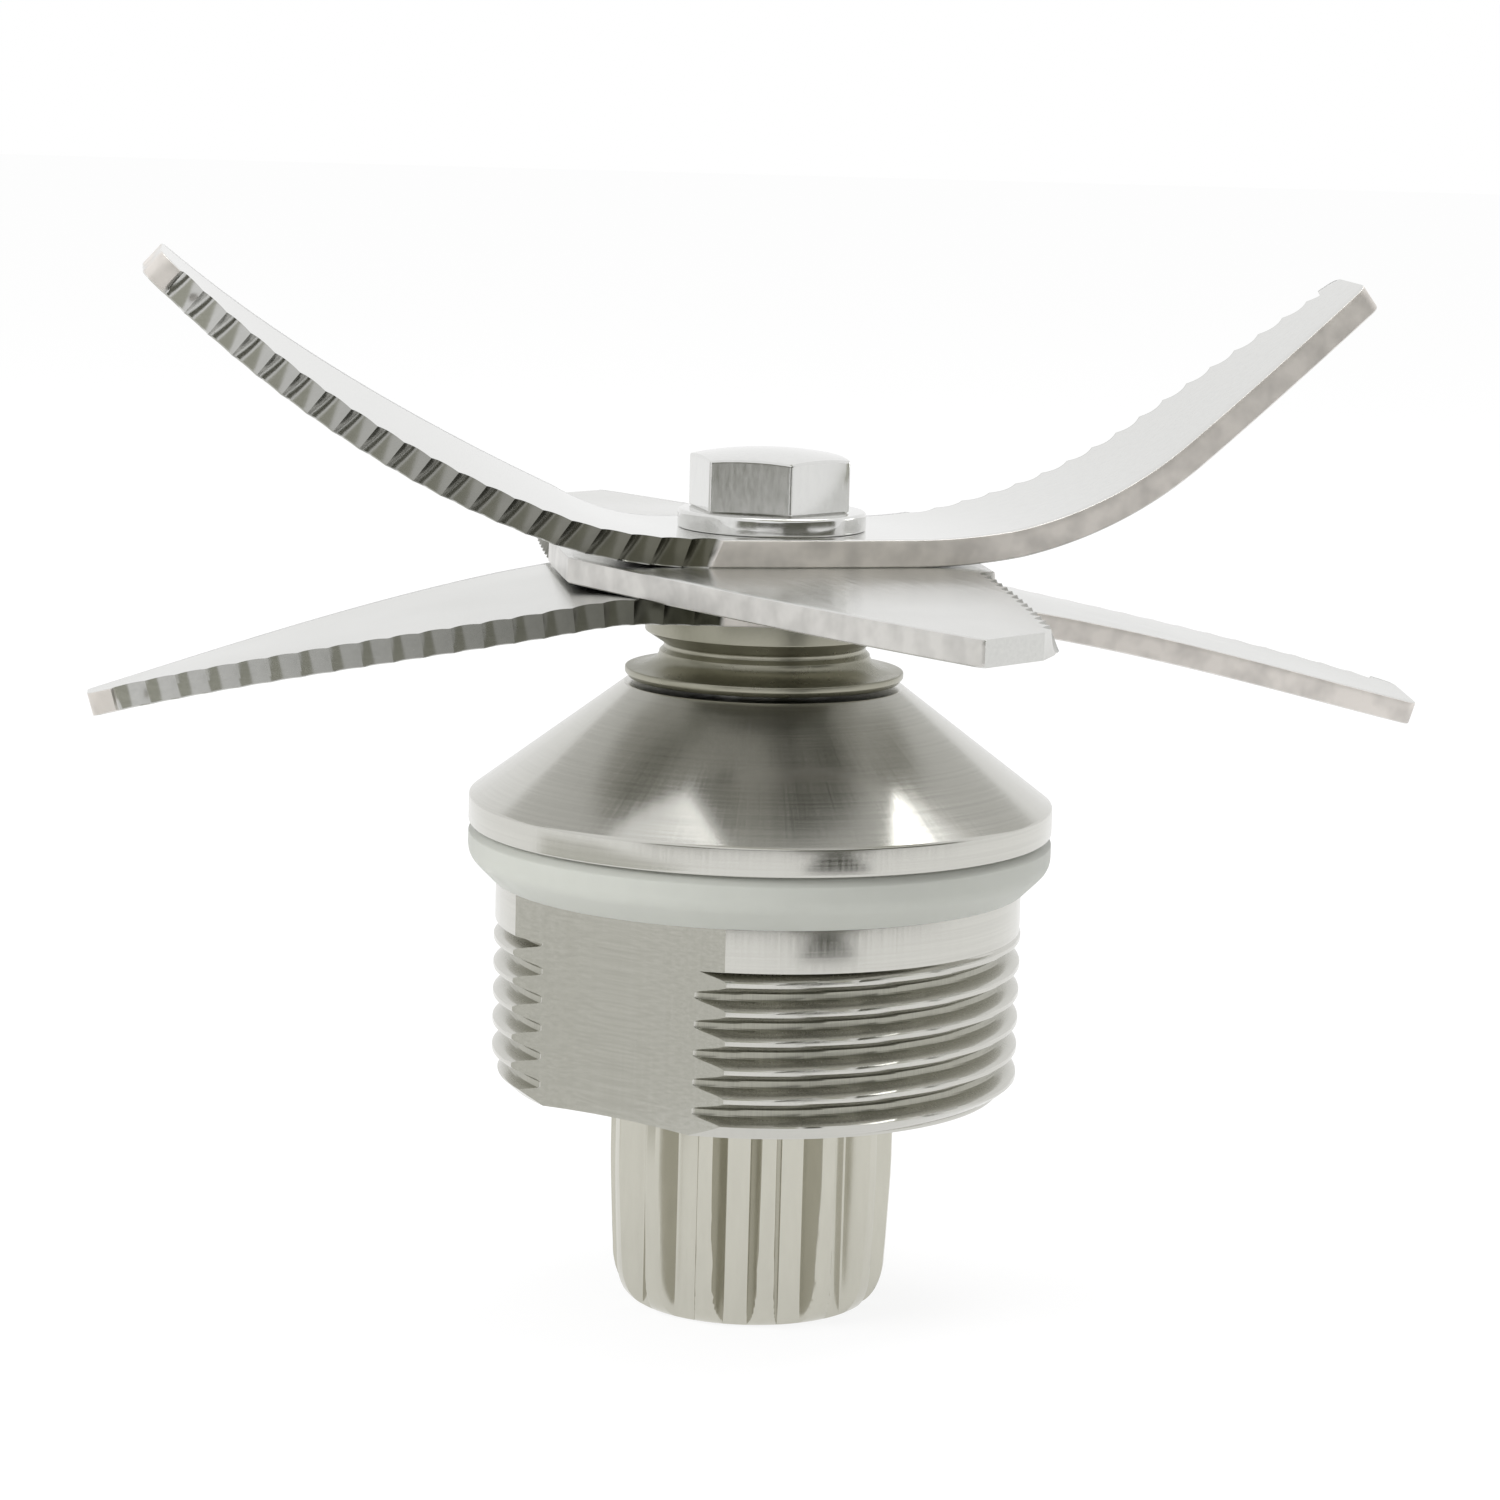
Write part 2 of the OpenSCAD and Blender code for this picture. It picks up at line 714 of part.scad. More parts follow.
// Flat section of a circlip: an open ring with two eyes. lug_side is 1 for eyes outside the ring
module circlip_section(inner, outer, lug_side) {
    lug_at = lug_side > 0 ? outer : inner;
    difference() {
        union() {
            difference() {
                circle(r = outer);
                circle(r = inner);
            }
            for (a = [-circlip_lug_angle, circlip_lug_angle])
                rotate(a)
                    translate([lug_at, 0])
                        circle(r = circlip_lug_r);
        }
        if (lug_side > 0)
            circle(r = inner);
        else
            difference() {
                circle(r = 2 * outer);
                circle(r = outer);
            }
        for (a = [-circlip_lug_angle, circlip_lug_angle])
            rotate(a)
                translate([lug_at, 0])
                    circle(r = circlip_eye_r);
        square([4 * outer, circlip_lug_r], center = false);
    }
}

module shaft_circlip(z) {
    inner = shaft_r - shaft_groove_depth + fit_gap;
    color(dark_steel)
        translate([0, 0, z])
            linear_extrude(height = shaft_circlip_t - fit_gap)
                circlip_section(inner, inner + circlip_ring_w, 1);
}

module upper_shaft_circlip() { shaft_circlip(z_shaft_circlip_high + fit_gap); }
module lower_shaft_circlip() { shaft_circlip(z_shaft_circlip_low); }

module housing_circlip() {
    outer = bore_r + circlip_groove_depth - fit_gap;
    color(dark_steel)
        translate([0, 0, z_housing_circlip])
            linear_extrude(height = housing_circlip_t - fit_gap)
                circlip_section(outer - circlip_ring_w, outer, -1);
}

// Coupling: a male spline with straight flanks, a rounded lead-in, and a blind bore for the shaft
module drive_coupling() {
    tip_half = asin(tooth_tip_w / 2 / spline_r);
    floor_half = asin(groove_floor_w / 2 / spline_root_r);
    shoulder_r = spline_r - (spline_r - coupling_foot_r) * (1 - lead_in_round_share);
    color(olive_steel)
        difference() {
            rotate_extrude()
                polygon(concat(
                    [[0, 0], [coupling_foot_r, 0]],
                    [for (a = [15:15:90])
                        [coupling_foot_r + (shoulder_r - coupling_foot_r) * sin(a),
                            lead_in_h * (1 - cos(a))]],
                    [
                        [spline_r, swell_h_share * lead_in_h],
                        [spline_r, z_spline_top],
                        [coupling_boss_r, z_spline_top],
                        [coupling_boss_r, z_shaft_circlip_low - fit_gap],
                        [0, z_shaft_circlip_low - fit_gap]
                    ]
                ));
            for (k = [0:spline_teeth - 1])
                rotate([0, 0, spline_azimuth + (k + 0.5) * tooth_pitch_angle])
                    translate([0, 0, -over])
                        linear_extrude(height = z_spline_top + 2 * over)
                            spline_groove(tip_half, floor_half);
            translate([0, 0, coupling_floor_t - fit_gap])
                cylinder(r = shaft_r + fit_gap, h = z_housing + over);
        }
}

// Section of one spline groove, along +X
module spline_groove(tip_half, floor_half) {
    mouth_half = tooth_pitch_angle / 2 - tip_half;
    floor_p = spline_root_r * [cos(floor_half), sin(floor_half)];
    mouth_p = spline_r * [cos(mouth_half), sin(mouth_half)];
    out_p = mouth_p + (mouth_p - floor_p);
    polygon([
        floor_p,
        mouth_p,
        out_p,
        [out_p[0], -out_p[1]],
        [mouth_p[0], -mouth_p[1]],
        [floor_p[0], -floor_p[1]]
    ]);
}

hex_bolt();
bolt_washer();
top_blade();
middle_blade();
bottom_blade();
slinger();
drive_shaft();
bearing_housing();
jar_seal();
lip_seal();
garter_spring();
upper_outer_race();
upper_inner_race();
upper_balls();
upper_ball_cage();
upper_top_shield();
upper_bottom_shield();
lower_outer_race();
lower_inner_race();
lower_balls();
lower_ball_cage();
lower_top_shield();
lower_bottom_shield();
outer_spacer();
inner_spacer();
housing_circlip();
upper_shaft_circlip();
lower_shaft_circlip();
drive_coupling();
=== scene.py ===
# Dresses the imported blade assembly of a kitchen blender: detailed blades, housing, seals, coupling
# and bolt, with their finishes, a studio stage and the camera. Sizes are worked in millimetres and
# every mesh is stored in metres.
from collections import namedtuple
from math import asin, atan2, ceil, cos, hypot, pi, radians, sin, sqrt, tan

import bmesh
import bpy
import numpy as np
from mathutils import Matrix, Vector


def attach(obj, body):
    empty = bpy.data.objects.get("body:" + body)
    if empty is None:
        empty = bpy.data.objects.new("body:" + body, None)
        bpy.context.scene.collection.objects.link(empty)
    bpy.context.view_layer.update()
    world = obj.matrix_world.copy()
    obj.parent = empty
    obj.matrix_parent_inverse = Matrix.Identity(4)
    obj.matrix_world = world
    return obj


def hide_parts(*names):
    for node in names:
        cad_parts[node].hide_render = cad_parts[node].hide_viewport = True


bl_info = {
    "name": "Blender Blade Assembly",
    "version": (1, 0, 0),
    "blender": (4, 5, 0),
    "location": "3D View > Sidebar > Blade Assembly",
    "description": "Dresses the packed blade assembly with pieces, finishes, light and camera",
    "category": "Object",
}

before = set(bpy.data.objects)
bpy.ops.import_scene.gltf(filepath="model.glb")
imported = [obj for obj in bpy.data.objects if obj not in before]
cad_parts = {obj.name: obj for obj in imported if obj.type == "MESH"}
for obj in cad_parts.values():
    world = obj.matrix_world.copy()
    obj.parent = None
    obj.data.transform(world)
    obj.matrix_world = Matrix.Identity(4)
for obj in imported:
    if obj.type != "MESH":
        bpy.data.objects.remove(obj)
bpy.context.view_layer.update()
MM = 0.001
TAU = 2 * pi

# Heights above the coupling's bottom face, radii, and angles in degrees, as in the part's source
Z_HOUSING, Z_NECK, Z_JAR_SEAL, Z_RIM = 15.8, 27.4, 30.4, 34.3
Z_CONE, Z_CONE_TOP = 36.3, 44.4
Z_BORE_TOP, Z_POCKET_TOP = 35.5, 41.5
Z_CIRCLIP, CIRCLIP_T, CIRCLIP_DEPTH = 17.3, 1.2, 0.65
Z_SLINGER, Z_BOTTOM, Z_MIDDLE, Z_TOP, Z_WASHER, Z_HEAD = 44.75, 50.15, 51.75, 53.5, 55.4, 56.7
BORE_R, POCKET_R, HOLE_R, SHAFT_R, SPIGOT_R, SPIGOT_FLAT = 13.0, 10.0, 5.6, 5.0, 4.5, 3.75
FLAT_DISTANCE, FLAT_AZIMUTH, SEAL_SEAT_R = 16.3, -125.2, 16.1
RIM_R, CREST_R, Z_THREAD_START = 20.6, 18.68, 27.1
COUPLING_AZIMUTH = -5.5
# Clearance of a rebuilt piece from a carried-over one
FIT = 0.02

# Each wing: flat length, bend length, angle after the bend, angle at the tip, twist at the tip,
# bow of the twist, start of the scallops
Wing = namedtuple("Wing", "flat bend after tip twist bow scallops")
TOP_LEFT = Wing(6.4, 7.6, 20.8, 42.2, 6.7, 0.95, 5)
TOP_RIGHT = Wing(8.1, 22, 37.8, 37.8, 3.1, 0.95, 12)
MIDDLE_WING = Wing(44.6, 1, 0, 0, 0, 0, 12)
BOTTOM_LEFT = Wing(9.7, 4.2, 10.5, 15.4, -5.8, -0.51, 5)
BOTTOM_RIGHT = Wing(9.7, 4.2, 10.5, 15.4, 5.8, -0.51, 12)
TWIST_RAMP = 8.0
TOP_AZIMUTH, MIDDLE_AZIMUTH, BOTTOM_AZIMUTH = 13.2, -69.0, 10.1

# Each blade: wings, up or down, azimuth, half-widths at the hub and at the tip, bulge of the
# sides, height of the underside, share of the scallops' lean
Blade = namedtuple("Blade", "wings rise azimuth hub_w tip_w bulge low lean")
BLADES = {
    "top": Blade((TOP_LEFT, TOP_RIGHT), 1, TOP_AZIMUTH, 8.3, 2.85, 1.09, Z_TOP, 0.7),
    "middle": Blade((MIDDLE_WING, MIDDLE_WING), 1, MIDDLE_AZIMUTH, 14.7, 2.9, 0.8, Z_MIDDLE, 0.2),
    "bottom": Blade((BOTTOM_LEFT, BOTTOM_RIGHT), -1, BOTTOM_AZIMUTH, 14.1, 3.3, 1.3, Z_BOTTOM, 0.2),
}
# How strongly the ground band's dark tone shows at the hub and at the tip: it is stronger at the
# hub, as painted shade
BAND_SHADE_AT_HUB, BAND_SHADE_AT_TIP = 1.15, 0.2
# Cuts at each tip of the middle blade: distance from the tip, distance to the side, angle
MIDDLE_CORNERS = ((3.1, 2.9, 27), (4.0, 3.3, 51))
# A blade's edge: rounding of the tip, plain end of the scallops, and the length of their fading
TIP_ROUND, PLAIN_TIP, FADE = 0.75, 1.6, 0.3
# Rows of its section: steps of the side, the side's share of the thickness, and how far from the
# edge the plain face ends, the ground band begins, the underside begins and the underside ends
SIDE_STEPS, SIDE_SHARE = 8, 0.94
FACE_ROW, BAND_ROW, BELOW_START, BELOW_END = 2.2, 0.8, 0.1, 1.2
# Shares of the grind where the band begins, of a hollow on the side's foot and on the underside,
# and of the edge's rounding that an unground side keeps
BAND_GRIND, FOOT_HOLLOW, BELOW_HOLLOW, ROUND_KEPT = 0.85, 0.6, 0.55, 0.29

# Finishes of the carried-over inner pieces, by a word in their names
INNER_FINISHES = (
    ("race", "bearing_steel"), ("balls", "bearing_steel"), ("cage", "nylon"),
    ("shield", "blade_steel"), ("spacer", "blade_steel"), ("circlip", "spring_steel"),
    ("lip_seal", "black_rubber"), ("garter", "spring_steel"), ("shaft", "bearing_steel"),
)
# Where the noise of a steel's marks is taken to be low and high, and the darkest share of a tone
# in a marked region and on a moulded skin
NOISE_LOW, NOISE_HIGH, PATCH_DARK, SKIN_DARK = 0.3, 0.62, 0.8, 0.94
# The finishes by name, once they are made
FINISHES = {}

# Camera, worked out from the photograph's outlines
CAMERA_PLACE = (0.0, -302.40, 87.95)
CAMERA_PITCH, CAMERA_ROLL, CAMERA_PAN = 0.15859, 0.02687, -0.00278
CAMERA_LENS = 4337.486 / 1500 * 36


def linear(code):
    """Turns an sRGB hex value into a linear colour."""
    parts = [int(code[i:i + 2], 16) / 255 for i in (1, 3, 5)]
    return tuple(p / 12.92 if p <= 0.04045 else ((p + 0.055) / 1.055) ** 2.4 for p in parts)


def opaque(code):
    """The same with full opacity."""
    return (*linear(code), 1.0)


def length(name, value, description):
    """A length property whose default is given in millimetres."""
    return bpy.props.FloatProperty(name=name, description=description, default=value * MM,
                                   min=0.0, precision=5, unit="LENGTH")


def colour(name, code, description):
    """A colour property whose default is given as an sRGB hex value."""
    return bpy.props.FloatVectorProperty(name=name, description=description, size=3,
                                         default=linear(code), min=0.0, max=1.0, subtype="COLOR")


class BladeSizes(bpy.types.PropertyGroup):
    top_t: length("Top blade thickness", 1.9, "Sheet thickness of the top blade")
    middle_t: length("Middle blade thickness", 1.75, "Sheet thickness of the middle blade")
    bottom_t: length("Bottom blade thickness", 1.6, "Sheet thickness of the bottom blade")
    top_length: length("Top wing length", 47.6, "Arc length of each top wing from the axis")
    middle_length: length("Middle wing length", 44.6, "Length of each middle wing from the axis")
    bottom_length: length("Bottom wing length", 48.0,
                          "Arc length of each bottom wing from the axis")
    grind_w: length("Ground band", 0.65, "Width that the slant takes off a leading edge")
    scallop_depth: length("Scallop depth", 0.65, "Depth of each hollow below its ridges")
    scallop_pitch: length("Scallop pitch", 2.05, "Distance between the scallops")
    scallop_lean: length("Scallop lean", 1.3, "How far a ridge's lower end runs towards the tip")
    thread_pitch: length("Thread pitch", 2.0, "Pitch of the housing's thread")
    thread_depth: length("Thread depth", 1.13, "Depth of the housing's thread")
    edge_round: length("Edge rounding", 0.12, "Radius on the blades' long edges")
    spline_teeth: bpy.props.IntProperty(name="Spline teeth", description="Number of coupling teeth",
                                        default=14, min=6, max=30)


class BladeFinishes(bpy.types.PropertyGroup):
    polished: colour("Polished steel", "#DCDCDA", "Top blade, bolt and washer")
    sheet: colour("Blade steel", "#D2D2CF", "Middle and bottom blades")
    turned: colour("Turned steel", "#C9C8C2", "Bearing housing")
    olive: colour("Sintered steel", "#C3C1B6", "Drive coupling")
    silicone: colour("Silicone", "#B6B8B1", "Jar seal")


def size(name):
    """A size from the panel, in millimetres."""
    return getattr(bpy.context.scene.blade_sizes, name) / MM


def finish_colour(name):
    """A colour from the panel, with full opacity."""
    return (*getattr(bpy.context.scene.blade_finishes, name), 1.0)


def add(tree, kind, inputs=None, **settings):
    """Adds a node with its settings. An input is a value, or the socket that feeds it."""
    node = tree.nodes.new(kind)
    for key, value in settings.items():
        setattr(node, key, value)
    for key, value in (inputs or {}).items():
        if isinstance(value, bpy.types.NodeSocket):
            tree.links.new(value, node.inputs[key])
        else:
            node.inputs[key].default_value = value
    return node


def empty_tree(holder):
    """Turns on the nodes of a material or a world, and clears them."""
    holder.use_nodes = True
    holder.node_tree.nodes.clear()
    return holder.node_tree


def close_surface(tree, tone, rough, height, depth, inputs):
    """Ends a material in its bump, its shader and its output."""
    bump = add(tree, "ShaderNodeBump", {"Strength": 1.0, "Distance": depth * MM, "Height": height})
    shader = add(tree, "ShaderNodeBsdfPrincipled", {
        "Base Color": tone, "Roughness": rough, "Normal": bump.outputs[0], **inputs})
    add(tree, "ShaderNodeOutputMaterial", {"Surface": shader.outputs["BSDF"]})


def round_coordinates(tree):
    """Object coordinates as (distance from the axis, angle, height), for marks that run round."""
    place = add(tree, "ShaderNodeTexCoord").outputs["Object"]
    x, y, z = add(tree, "ShaderNodeSeparateXYZ", {"Vector": place}).outputs
    flat = add(tree, "ShaderNodeCombineXYZ", {"X": x, "Y": y})
    out = add(tree, "ShaderNodeVectorMath", {0: flat.outputs[0]}, operation="LENGTH")
    angle = add(tree, "ShaderNodeMath", {0: y, 1: x}, operation="ARCTAN2")
    return add(tree, "ShaderNodeCombineXYZ", {
        "X": out.outputs["Value"], "Y": angle.outputs[0], "Z": z}).outputs[0]


def mottled(tree, noise, tone, dark_share):
    """A tone with slightly darker places where the noise is low."""
    shade = add(tree, "ShaderNodeValToRGB", {"Fac": noise.outputs[0]})
    low, high = shade.color_ramp.elements
    low.position, high.position = NOISE_LOW, NOISE_HIGH
    low.color, high.color = (*(c * dark_share for c in tone[:3]), 1.0), tone
    return shade.outputs["Color"]


def steel(name, tone, dark_share, roughness, grain, depth, turn=0.0, around=False, edges=None):
    """A steel with fine marks. grain is the marks per metre along each axis, depth their bump in
    millimetres, and edges the tone and roughness of each region that the piece's points mark. Some
    of these tones are painted shade and painted reflection."""
    material = bpy.data.materials.new(name)
    tree = empty_tree(material)
    place = (round_coordinates(tree) if around
             else add(tree, "ShaderNodeTexCoord").outputs["Object"])
    turned = add(tree, "ShaderNodeMapping", {
        "Vector": place, "Rotation": (0, 0, radians(turn))})
    drawn = add(tree, "ShaderNodeVectorMath", {0: turned.outputs["Vector"], 1: grain},
                operation="MULTIPLY")
    marks = add(tree, "ShaderNodeTexNoise", {
        "Vector": drawn.outputs[0], "Scale": 1.0, "Detail": 3.0, "Roughness": 0.6})
    # Clouds of about 11 mm vary the polish, and patches of about 2 mm the marked regions
    cloud, patches = (
        add(tree, "ShaderNodeTexNoise", {"Vector": place, "Scale": per_metre, "Detail": 2.0})
        for per_metre in (90.0, 550.0))
    both = add(tree, "ShaderNodeMath", {0: marks.outputs[0], 1: cloud.outputs[0]}, operation="ADD")
    rough = add(tree, "ShaderNodeMapRange", {
        "Value": both.outputs[0], "From Min": 0.7, "From Max": 1.3,
        "To Min": roughness[0], "To Max": roughness[1]}).outputs[0]
    tone, height = mottled(tree, marks, tone, dark_share), marks.outputs[0]
    for mark, (edge_tone, edge_rough) in (edges or {}).items():
        share = add(tree, "ShaderNodeAttribute", attribute_name=mark, attribute_type="GEOMETRY")
        edge_tone = mottled(tree, patches, edge_tone, PATCH_DARK)
        tone, rough, height = (
            add(tree, "ShaderNodeMix", {"Factor": share.outputs["Fac"], "A": plain, "B": special},
                data_type=kind).outputs["Result"]
            for plain, special, kind in ((tone, edge_tone, "RGBA"), (rough, edge_rough, "FLOAT"),
                                         (height, cloud.outputs[0], "FLOAT")))
    close_surface(tree, tone, rough, height, depth, {"Metallic": 1.0})
    return material


def moulded(name, tone, roughness, grain, depth, ior, soak=0.0):
    """A moulded plastic, rubber or silicone with a faint skin: grain is its marks per metre,
    depth their bump in millimetres and soak the share of light that it takes in and lets out."""
    material = bpy.data.materials.new(name)
    tree = empty_tree(material)
    place = add(tree, "ShaderNodeTexCoord").outputs["Object"]
    skin = add(tree, "ShaderNodeTexNoise", {"Vector": place, "Scale": grain, "Detail": 2.0})
    rough = add(tree, "ShaderNodeMapRange", {
        "Value": skin.outputs[0], "From Min": 0.3, "From Max": 0.7,
        "To Min": roughness[0], "To Max": roughness[1]})
    shade = add(tree, "ShaderNodeValToRGB", {"Fac": skin.outputs[0]})
    low, high = shade.color_ramp.elements
    low.color, high.color = (*(c * SKIN_DARK for c in tone[:3]), 1.0), tone
    close_surface(tree, shade.outputs[0], rough.outputs[0], skin.outputs[0], depth, {
        "IOR": ior, "Subsurface Weight": soak, "Subsurface Scale": 1.0,
        "Subsurface Radius": (0.003, 0.003, 0.0025)})
    return material


def make_materials():
    """Every finish of the assembly, by the name of its slot or of its kind."""
    # The ground band's dark olive tone is partly the rougher finish of the grind and partly painted
    # reflection of the dark surroundings
    band = (opaque("#5F5E53"), 0.27)
    edges = {"sheared": (opaque("#EAE5E0"), 0.55), "ground": band}
    # The bottom blade's band is painted darker still: painted shade under the blades above it
    bottom_edges_with_shade = {**edges, "ground": (opaque("#4A4A3F"), 0.3)}
    smooth_edges = {"sheared": (opaque("#D4D2CE"), 0.3), "ground": band}
    # Marks per metre along and across a blade, and on a turned face (out, round, up)
    hairlines, belt = (300, 3600, 3600), (350, 3600, 3600)
    lathe_rings, honing = (5200, 0.6, 5200), (4200, 0.6, 4200)
    return {
        # Stainless sheet, buffed: a mirror with hairlines that soften its edge
        "polished_steel": steel(
            "Buffed stainless steel", finish_colour("polished"), 0.96, (0.1, 0.18), hairlines,
            0.0003, -TOP_AZIMUTH, edges=edges),
        # Stainless bar, machined and polished: the bolt and its washer
        "bolt_steel": steel(
            "Polished stainless bar", finish_colour("polished"), 0.95, (0.1, 0.18),
            (3000, 3000, 900), 0.0002),
        # Stainless sheet, belt ground along the wings: soft reflections drawn out across the grain.
        # Its ground band is painted darker, as shade under the blades above
        "blade_steel": steel(
            "Ground stainless steel", finish_colour("sheet"), 0.93, (0.17, 0.27), belt, 0.0003,
            -BOTTOM_AZIMUTH, edges=bottom_edges_with_shade),
        # The same sheet with its grain along the middle blade
        "middle_steel": steel(
            "Ground stainless steel, middle", finish_colour("sheet"), 0.93, (0.17, 0.27), belt,
            0.0003, -MIDDLE_AZIMUTH, edges=smooth_edges),
        # Stainless bar, turned on a lathe: rings that smear a highlight into a fan, and a darker
        # tone in the thread's roots that is painted shade
        "turned_steel": steel(
            "Turned stainless steel", finish_colour("turned"), 0.93, (0.15, 0.25), lathe_rings,
            0.0004, around=True, edges={"thread_root_shade": (opaque("#A9A89D"), 0.3)}),
        # The slinger's sintered steel, in a darker olive grey than the other steels
        "slinger_steel": steel(
            "Darker olive sintered steel", opaque("#A3A193"), 0.93, (0.26, 0.36), (1500, 1500, 1500),
            0.0003),
        # Sintered steel, steam treated: a warm grey with a faint grit
        "olive_steel": steel(
            "Sintered steel", finish_colour("olive"), 0.95, (0.14, 0.22), (1500, 1500, 300),
            0.00015),
        # Through-hardened bearing steel, honed: nearly a mirror
        "bearing_steel": steel(
            "Honed bearing steel", opaque("#C8C9CA"), 0.95, (0.1, 0.2), honing, 0.0004,
            around=True),
        # Spring steel, blackened in oil: dark with a dull sheen
        "spring_steel": steel(
            "Blackened spring steel", opaque("#5A5C5E"), 0.8, (0.3, 0.45), (3000, 3000, 3000),
            0.001),
        # Silicone rubber, moulded: milky, with a soft satin skin
        "silicone": moulded(
            "Milky silicone rubber", finish_colour("silicone"), (0.38, 0.5), 700.0, 0.004, 1.43,
            0.12),
        # Nitrile rubber, moulded: black and dull
        "black_rubber": moulded(
            "Black nitrile rubber", opaque("#1E1E1F"), (0.5, 0.65), 900.0, 0.005, 1.52),
        # Nylon, moulded: cream with a low gloss
        "nylon": moulded("Cream nylon", opaque("#DDD6BE"), (0.35, 0.5), 800.0, 0.003, 1.53),
    }


def finish_of(kind):
    """A finish by the name of its slot or kind. The first call makes them all."""
    if not FINISHES:
        FINISHES.update(make_materials())
    return FINISHES[kind]


def new_object(name, points, faces, merge=True):
    """A mesh object from points in millimetres, with its faces turned outwards."""
    mesh = bpy.data.meshes.new(name)
    mesh.from_pydata((np.asarray(points, dtype=float) * MM).tolist(), [], faces)
    work = bmesh.new()
    work.from_mesh(mesh)
    if merge:
        bmesh.ops.remove_doubles(work, verts=work.verts, dist=0.001 * MM)
    bmesh.ops.recalc_face_normals(work, faces=work.faces)
    work.to_mesh(mesh)
    work.free()
    obj = bpy.data.objects.new(name, mesh)
    bpy.context.scene.collection.objects.link(obj)
    return obj


def bake(obj):
    """Replaces an object's mesh by what its modifiers make of it."""
    graph = bpy.context.evaluated_depsgraph_get()
    graph.update()
    mesh = bpy.data.meshes.new_from_object(obj.evaluated_get(graph))
    obj.modifiers.clear()
    obj.data = mesh


def cut(obj, cutters):
    """Cuts objects out of an object and deletes them."""
    for cutter in cutters:
        bite = obj.modifiers.new("Cut", "BOOLEAN")
        bite.operation, bite.solver, bite.object = "DIFFERENCE", "EXACT", cutter
    bake(obj)
    for cutter in cutters:
        bpy.data.objects.remove(cutter)


def dress(obj, slot, node, body, angle=30, finish=None):
    """Gives a piece its finish and shading, hides the carried-over node that it stands for, and
    parents it to the body that it moves with. finish names a kind of the slot's material, where the
    piece has one of its own."""
    obj.data.materials.clear()
    obj.data.materials.append(finish_of(finish or slot))
    obj.data.shade_smooth()
    obj.data.set_sharp_from_angle(angle=radians(angle))
    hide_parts(node)
    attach(obj, body)


def fillet(corners, steps=4):
    """A closed outline from corners (x, y, radius), each rounded by a short curve."""
    out = []
    count = len(corners)
    for i, (x, y, radius) in enumerate(corners):
        here = Vector((x, y))
        if radius <= 0:
            out.append((x, y))
            continue
        back = Vector(corners[i - 1][:2]) - here
        on = Vector(corners[(i + 1) % count][:2]) - here
        half = back.angle(on) / 2
        reach = min(radius / tan(half), back.length * 0.48, on.length * 0.48)
        start, end = here + back.normalized() * reach, here + on.normalized() * reach
        for k in range(steps + 1):
            t = k / steps
            out.append(tuple(start * (1 - t) ** 2 + here * 2 * t * (1 - t) + end * t * t))
    return out


def subdivide(outline, step):
    """Adds points along a closed outline, so that none is further apart than the step."""
    out = []
    for k, (x, y) in enumerate(outline):
        nx, ny = outline[(k + 1) % len(outline)]
        parts = max(1, ceil(hypot(nx - x, ny - y) / step))
        out += [(x + (nx - x) * i / parts, y + (ny - y) * i / parts) for i in range(parts)]
    return out


def polar(r, angle, radius):
    """A corner of an outline, given by distance and angle."""
    return (r * cos(angle), r * sin(angle), radius)


def soft_min(a, b, softness=0.06):
    """The smaller of two lengths, with a small rounding where they meet."""
    h = max(softness - abs(a - b), 0.0) / softness
    return min(a, b) - h * h * softness / 4


def mesh_grid(columns, closed=True):
    """Points and faces of a grid of columns. A closed one runs round the axis, with each column
    a closed outline. An open one is a slice of it."""
    columns = np.asarray(columns, dtype=float)
    turns, rows = columns.shape[:2]
    gap = 0 if closed else 1
    faces = [(k * rows + j, k * rows + (j + 1) % rows, (k + 1) % turns * rows + (j + 1) % rows,
              (k + 1) % turns * rows + j) for k in range(turns - gap) for j in range(rows - gap)]
    return columns.reshape(-1, 3), faces


def revolve(outline, turns=192):
    """Points and faces of an outline (radius, height) turned round the axis."""
    angle = np.arange(turns)[:, None] * TAU / turns
    radius, height = np.asarray(outline).T
    return mesh_grid(np.stack([np.cos(angle) * radius, np.sin(angle) * radius,
                               height + 0 * angle], axis=2))


def upright_columns(section, profile, turn=0.0):
    """Columns of a solid over a section (x, y). profile gives a column's radii and heights from
    the section's distance to the axis."""
    columns = []
    for x, y in section:
        r, a = hypot(x, y), atan2(y, x) + turn
        columns.append([(q * cos(a), q * sin(a), z) for q, z in profile(r)])
    return columns


def wing_slope(wing, reach, s):
    """Slope of a wing, in radians, at arc length s."""
    past = s - wing.flat
    if past < 0:
        return 0.0
    if past < wing.bend:
        return radians(wing.after * past / wing.bend)
    share = (past - wing.bend) / (reach - wing.flat - wing.bend)
    return radians(wing.after + (wing.tip - wing.after) * share)


def wing_turn(wing, reach, s):
    """Twist of a wing, in radians, at arc length s: none over the flat part."""
    past = max(0.0, s - wing.flat)
    share = past / (reach - wing.flat + FIT)
    bowed = share + wing.bow * 4 * share * (1 - share)
    return radians(wing.twist * min(1, past / TWIST_RAMP) * bowed)


def tree_with(name, **inputs):
    """A Geometry Nodes tree with named inputs and a material. Returns it with what it is given."""
    tree = bpy.data.node_groups.new(name, "GeometryNodeTree")
    tree.interface.new_socket("Geometry", in_out="INPUT", socket_type="NodeSocketGeometry")
    for label, kind in (*inputs.items(), ("Material", "Material")):
        tree.interface.new_socket(label, in_out="INPUT", socket_type="NodeSocket" + kind)
    tree.interface.new_socket("Geometry", in_out="OUTPUT", socket_type="NodeSocketGeometry")
    return tree, add(tree, "NodeGroupInput").outputs


